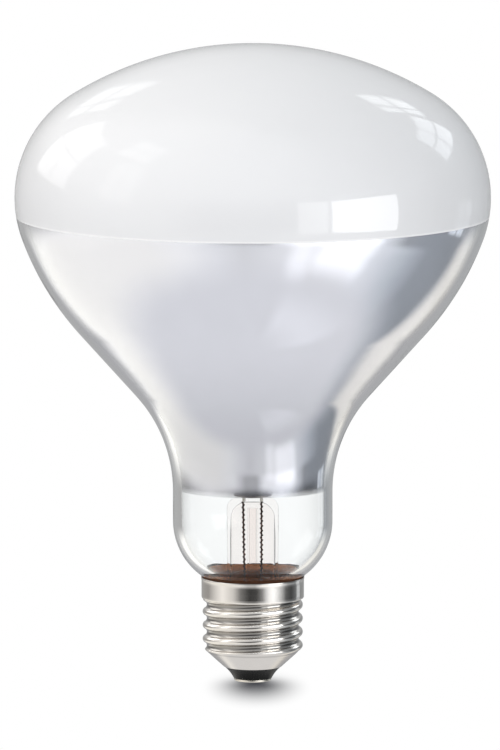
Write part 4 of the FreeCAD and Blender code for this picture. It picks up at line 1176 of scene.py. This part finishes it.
class LAMP_OT_cap_end(bpy.types.Operator):
    """Mould the insulator and press the contact plate with its solder"""

    bl_idname = "lamp.cap_end"
    bl_label = "Insulator, contact and solder"

    def execute(self, context):
        _, form, _, finishes, _ = forms()
        black = mottled("black_glass", finishes.insulator, (300.0, 2.0), (1.0, 2.0), (0.2, 0.14), (0.04, 0.0004),
                        {"Specular IOR Level": 0.1})
        seat(moulded_insulator(form), black, "cap_insulator")
        seat(contact_plate(form), turned_metal("contact_plate", finishes.contact, 0.22), "centre_contact")
        seat(solder_bead(form), rough_metal("tin_solder", finishes.solder, 0.3, 900.0), "contact_solder")
        return {"FINISHED"}


# The studio as reflections see it. Rings round the lamp: degrees to the right of the camera, and how
# bright. A ring takes over from the one below between two lifts in degrees.
FLOOR_ROUND = ((-180, 0.5), (-157, 0.5), (-150, 1.2), (-138, 1.15), (-126, 1.12), (-40, 1.1), (-5, 0.84),
               (25, 1.0), (76, 0.95), (112, 0.42), (134, 0.38), (141, 0.95), (150, 1.0), (156, 0.5), (180, 0.5))
NEAR_ROUND = ((-180, 0.4), (-158, 0.42), (-151, 1.2), (-138, 1.15), (-126, 1.12), (-100, 1.15), (-30, 1.08),
              (-11, 0.6), (6, 0.6), (18, 1.2), (62, 1.45), (76, 0.9), (88, 0.45), (134, 0.36), (141, 0.85),
              (149, 0.95), (155, 0.42), (180, 0.4))
LEVEL_ROUND = ((-180, 0.45), (-118, 0.4), (-72, 1.2), (-45, 0.8), (-28, 0.2), (-8, 0.03), (10, 0.05),
               (22, 0.25), (36, 1.2), (48, 1.5), (62, 0.8), (80, 0.12), (98, 0.06), (125, 0.3), (180, 0.45))
SKY_ROUND = ((-180, 0.65), (-110, 1.1), (-40, 1.0), (0, 0.75), (25, 0.85), (70, 0.5), (112, 0.3), (150, 0.45),
             (180, 0.65))
RINGS = ((-60, -40, FLOOR_ROUND), (-31, -25, NEAR_ROUND), (-20, -9, LEVEL_ROUND), (4, 24, SKY_ROUND))
UNDER = 0.86
# Windows: left and right edge, lower and upper edge and soft edge in degrees, and the light that they add.
WINDOWS = ((37, 71, -48, -20, 5.0, 0.4), (22, 35, -52, -24, 5.0, 0.25), (25, 100, -80, -63, 9.0, 0.13),
           (121, 146, 19, 36, 1.0, 1.8), (149, 159, 29, 42, 1.0, 1.6), (-137, -106, 8, 42, 1.2, 1.2),
           (-165, -152, 22, 36, 1.2, 0.8), (-92, -66, 41, 56, 1.2, 1.1), (-82, -62, 8, 38, 2.0, 0.8),
           (118, 132, -18, -3, 1.2, 0.6))
# Windows with an edge this sharp have a cross of glazing bars: the bars' half width in degrees.
GLAZED_BELOW = 3.0
GLAZING_BAR = 0.8
# Two panes of a near window: degrees to the right of the camera, degrees across, and how bright.
PANES = ((53.5, 34.0, 4.5), (27.5, 14.0, 1.6))
# Tints round the lamp, from the level upwards and below it, and straight down.
COOL, WARM, BLUE, SHADE = (0.98, 0.99, 1.0), (1.0, 0.985, 0.97), (0.88, 0.94, 1.0), (0.97, 0.97, 1.0)
WHITE, PEACH = (1.0, 1.0, 1.0), (1.0, 0.97, 0.91)
TINT_ROUND = ((-180, COOL), (-130, WARM), (-50, WARM), (0, (0.97, 0.98, 1.0)), (75, (0.93, 0.96, 1.0)),
              (110, BLUE), (180, COOL))
LOW_TINT_ROUND = ((-180, SHADE), (-158, SHADE), (-148, (1.0, 0.98, 0.92)), (-60, (1.0, 0.98, 0.93)),
                  (-20, WHITE), (60, WHITE), (100, BLUE), (133, BLUE), (140, PEACH), (151, PEACH),
                  (158, SHADE), (180, SHADE))
UNDER_TINT = (0.985, 0.985, 1.0)


def surroundings(graph):
    """How bright the studio is in each direction, and its tint."""
    across, along, up = graph.axes(graph.add("ShaderNodeTexCoord", outlet="Generated"))
    round_turn = across.maths("ARCTAN2", across, -1.0 * along) / FULL_TURN + 0.5
    turn = (round_turn - 0.5) * 360.0
    lift = up.maths("ARCSINE", up, 0.0) / math.radians(1.0)

    def ramp(stops):
        """A colour ramp round the lamp."""
        return graph.ramp(round_turn, [(degrees / 360 + 0.5, shade) for degrees, shade in stops])

    def between(number, low, high, soft):
        """One between two edges and zero outside, with soft edges."""
        return (graph.step(number, low - soft, low + soft)
                * graph.step(number, high - soft, high + soft, 1.0, 0.0))

    light = UNDER
    for low, high, stops in RINGS:
        peak = max(bright for _, bright in stops)
        shades = ramp([(degrees, bright / peak) for degrees, bright in stops])
        ring = graph.add("ShaderNodeSeparateColor", inputs={0: shades}) * peak
        factor = graph.step(lift, low, high)
        light = light * (1 - factor) + ring * factor
    for left, right, bottom, top, soft, bright in WINDOWS:
        pane = between(turn, left, right, soft) * between(lift, bottom, top, soft)
        if soft < GLAZED_BELOW:
            for number, middle in ((turn, (left + right) / 2), (lift, (bottom + top) / 2)):
                aside = number.maths("ABSOLUTE", number - middle, 0.0)
                pane = pane * graph.step(aside, GLAZING_BAR * 0.3, GLAZING_BAR + soft * 0.3, 0.25, 1.0)
        light = light + pane * bright
    low_tint = graph.mixed(graph.step(lift, -60.0, -40.0), rgba(UNDER_TINT), ramp(LOW_TINT_ROUND))
    return light, graph.mixed(graph.step(lift, -24.0, -9.0), low_tint, ramp(TINT_ROUND))


def studio_world():
    """White for rays that meet nothing but clear glass, and the surroundings for reflections."""
    world = bpy.data.worlds.new("studio")
    world.use_nodes = True
    graph = Graph(world.node_tree)
    path = graph.add("ShaderNodeLightPath").outlet.node.outputs
    bounces = Socket(graph, path["Glossy Depth"]) + Socket(graph, path["Diffuse Depth"])
    straight_on = bounces.maths("LESS_THAN", bounces, 0.5)
    light, tint = surroundings(graph)
    shader = graph.add("ShaderNodeBackground", inputs={
        "Color": graph.mixed(straight_on, tint, rgba(WHITE)),
        "Strength": light * (1 - straight_on) + straight_on})
    graph.add("ShaderNodeOutputWorld", inputs={0: shader})
    return world


def area_light(side, lift, distance, height, size, bright):
    """An area light that faces the lamp's axis at a height, and how bright its face is."""
    level = distance * math.cos(lift)
    bpy.ops.object.light_add(
        type="AREA", rotation=(QUARTER_TURN - lift, 0, side),
        location=(level * math.sin(side), -level * math.cos(side), height + distance * math.sin(lift)))
    light = bpy.context.object
    light.visible_camera = False
    light.data.shape = "RECTANGLE"
    light.data.size, light.data.size_y = size
    light.data.energy = bright * math.pi * size[0] * size[1]
    return light


def pale_floor(studio):
    """White to the camera with a soft shadow near the contact, and a plain pale floor to other rays."""
    made, graph = material("pale_floor")
    seen = graph.add("ShaderNodeLightPath", outlet="Is Camera Ray")
    towards_lamp = graph.add("ShaderNodeCombineXYZ", inputs={0: 0.0, 1: 0.8, 2: 0.6})
    cover = graph.add("ShaderNodeAmbientOcclusion", {"samples": 24}, {
        "Distance": studio.contact_reach, "Normal": towards_lamp}, outlet="AO")
    across, along, _ = graph.axes(graph.place())
    ahead = along + studio.shadow_shift
    aside = across - studio.shadow_side
    reach = (aside * aside / studio.shadow_half_width ** 2
             + ahead * ahead / studio.shadow_half_depth ** 2) ** 0.5
    fade = graph.step(reach, 0.1, 1.0, 1.0, 0.0)
    depth = (1 - cover ** studio.shadow_falloff) * fade
    shade = graph.mixed(depth, rgba(WHITE), rgba(studio.shadow))
    lit = graph.add("ShaderNodeEmission", inputs={"Color": shade})
    plain = graph.add("ShaderNodeBsdfDiffuse", inputs={"Color": rgba(studio.floor)})
    graph.finish(graph.add("ShaderNodeMixShader", inputs={0: seen, 1: plain, 2: lit}))
    return made


class LAMP_OT_stage(bpy.types.Operator):
    """Set up the floor, the surroundings and the camera"""

    bl_idname = "lamp.stage"
    bl_label = "Stage"

    def execute(self, context):
        studio = forms()[4]
        scene = context.scene
        scene.view_settings.view_transform = "Standard"
        scene.cycles.max_bounces = scene.cycles.transmission_bounces = 32
        scene.cycles.glossy_bounces = 8
        scene.world = studio_world()

        distance, low, high = studio.pane_distance, studio.pane_bottom, studio.pane_top
        for side, across, bright in PANES:
            size = (2 * distance * math.tan(math.radians(across / 2)), high - low)
            pane = area_light(math.radians(side), 0.0, distance, (low + high) / 2, size, bright)
            pane.visible_diffuse = False
        size = (studio.soft_size, studio.soft_size)
        soft = area_light(studio.soft_side, studio.soft_lift, studio.soft_distance, studio.aim_height,
                          size, studio.soft_bright)
        soft.visible_glossy = False

        deselect()
        bpy.ops.mesh.primitive_plane_add(size=studio.floor_size)
        floor = context.object
        floor.name = floor.data.name = "floor"
        floor.data.materials.append(pale_floor(studio))
        floor.visible_glossy = floor.visible_transmission = False

        bpy.ops.object.camera_add(location=(studio.camera_side, -studio.distance, studio.camera_height))
        camera = context.object
        pitch = math.atan2(studio.aim_height - studio.camera_height, studio.distance)
        camera.rotation_euler = (QUARTER_TURN + pitch, 0, 0)
        camera.data.sensor_width = SENSOR
        camera.data.lens = studio.focal_pixels * SENSOR / CAMERA_ROWS
        camera.data.clip_end = studio.view_end
        scene.camera = camera
        return {"FINISHED"}


class LAMP_PT_panel(bpy.types.Panel):
    """The lamp's pieces and their sizes"""

    bl_idname = "LAMP_PT_panel"
    bl_label = "Heat lamp bulb"
    bl_space_type = "VIEW_3D"
    bl_region_type = "UI"
    bl_category = "Lamp"

    def draw(self, context):
        for operator in STEPS:
            self.layout.operator(operator.bl_idname)
        for group in GROUPS:
            box = self.layout.box()
            owner = getattr(context.scene, group)
            for name in owner.bl_rna.properties.keys():
                if name not in {"rna_type", "name"}:
                    box.prop(owner, name)


STEPS = (LAMP_OT_bulb, LAMP_OT_stem, LAMP_OT_leads, LAMP_OT_filament, LAMP_OT_shield, LAMP_OT_shell,
         LAMP_OT_cap_end, LAMP_OT_stage)
GROUPS = {"lamp_bulb": BulbForm, "lamp_cap": CapForm, "lamp_mount": MountForm, "lamp_finishes": Finishes,
          "lamp_studio": Studio}


def register():
    """Adds the classes and their properties to Blender."""
    for group in (*GROUPS.values(), *STEPS, LAMP_PT_panel):
        bpy.utils.register_class(group)
    for name, group in GROUPS.items():
        setattr(bpy.types.Scene, name, bpy.props.PointerProperty(type=group))


def unregister():
    """Takes the properties and the classes out again."""
    for name in GROUPS:
        delattr(bpy.types.Scene, name)
    for group in (LAMP_PT_panel, *reversed(STEPS), *GROUPS.values()):
        bpy.utils.unregister_class(group)


def main():
    """Builds the lamp and its studio."""
    register()
    bpy.ops.lamp.bulb()
    bpy.ops.lamp.stem()
    bpy.ops.lamp.leads()
    bpy.ops.lamp.filament()
    bpy.ops.lamp.shield()
    bpy.ops.lamp.shell()
    bpy.ops.lamp.cap_end()
    bpy.ops.lamp.stage()


if __name__ == "__main__":
    main()
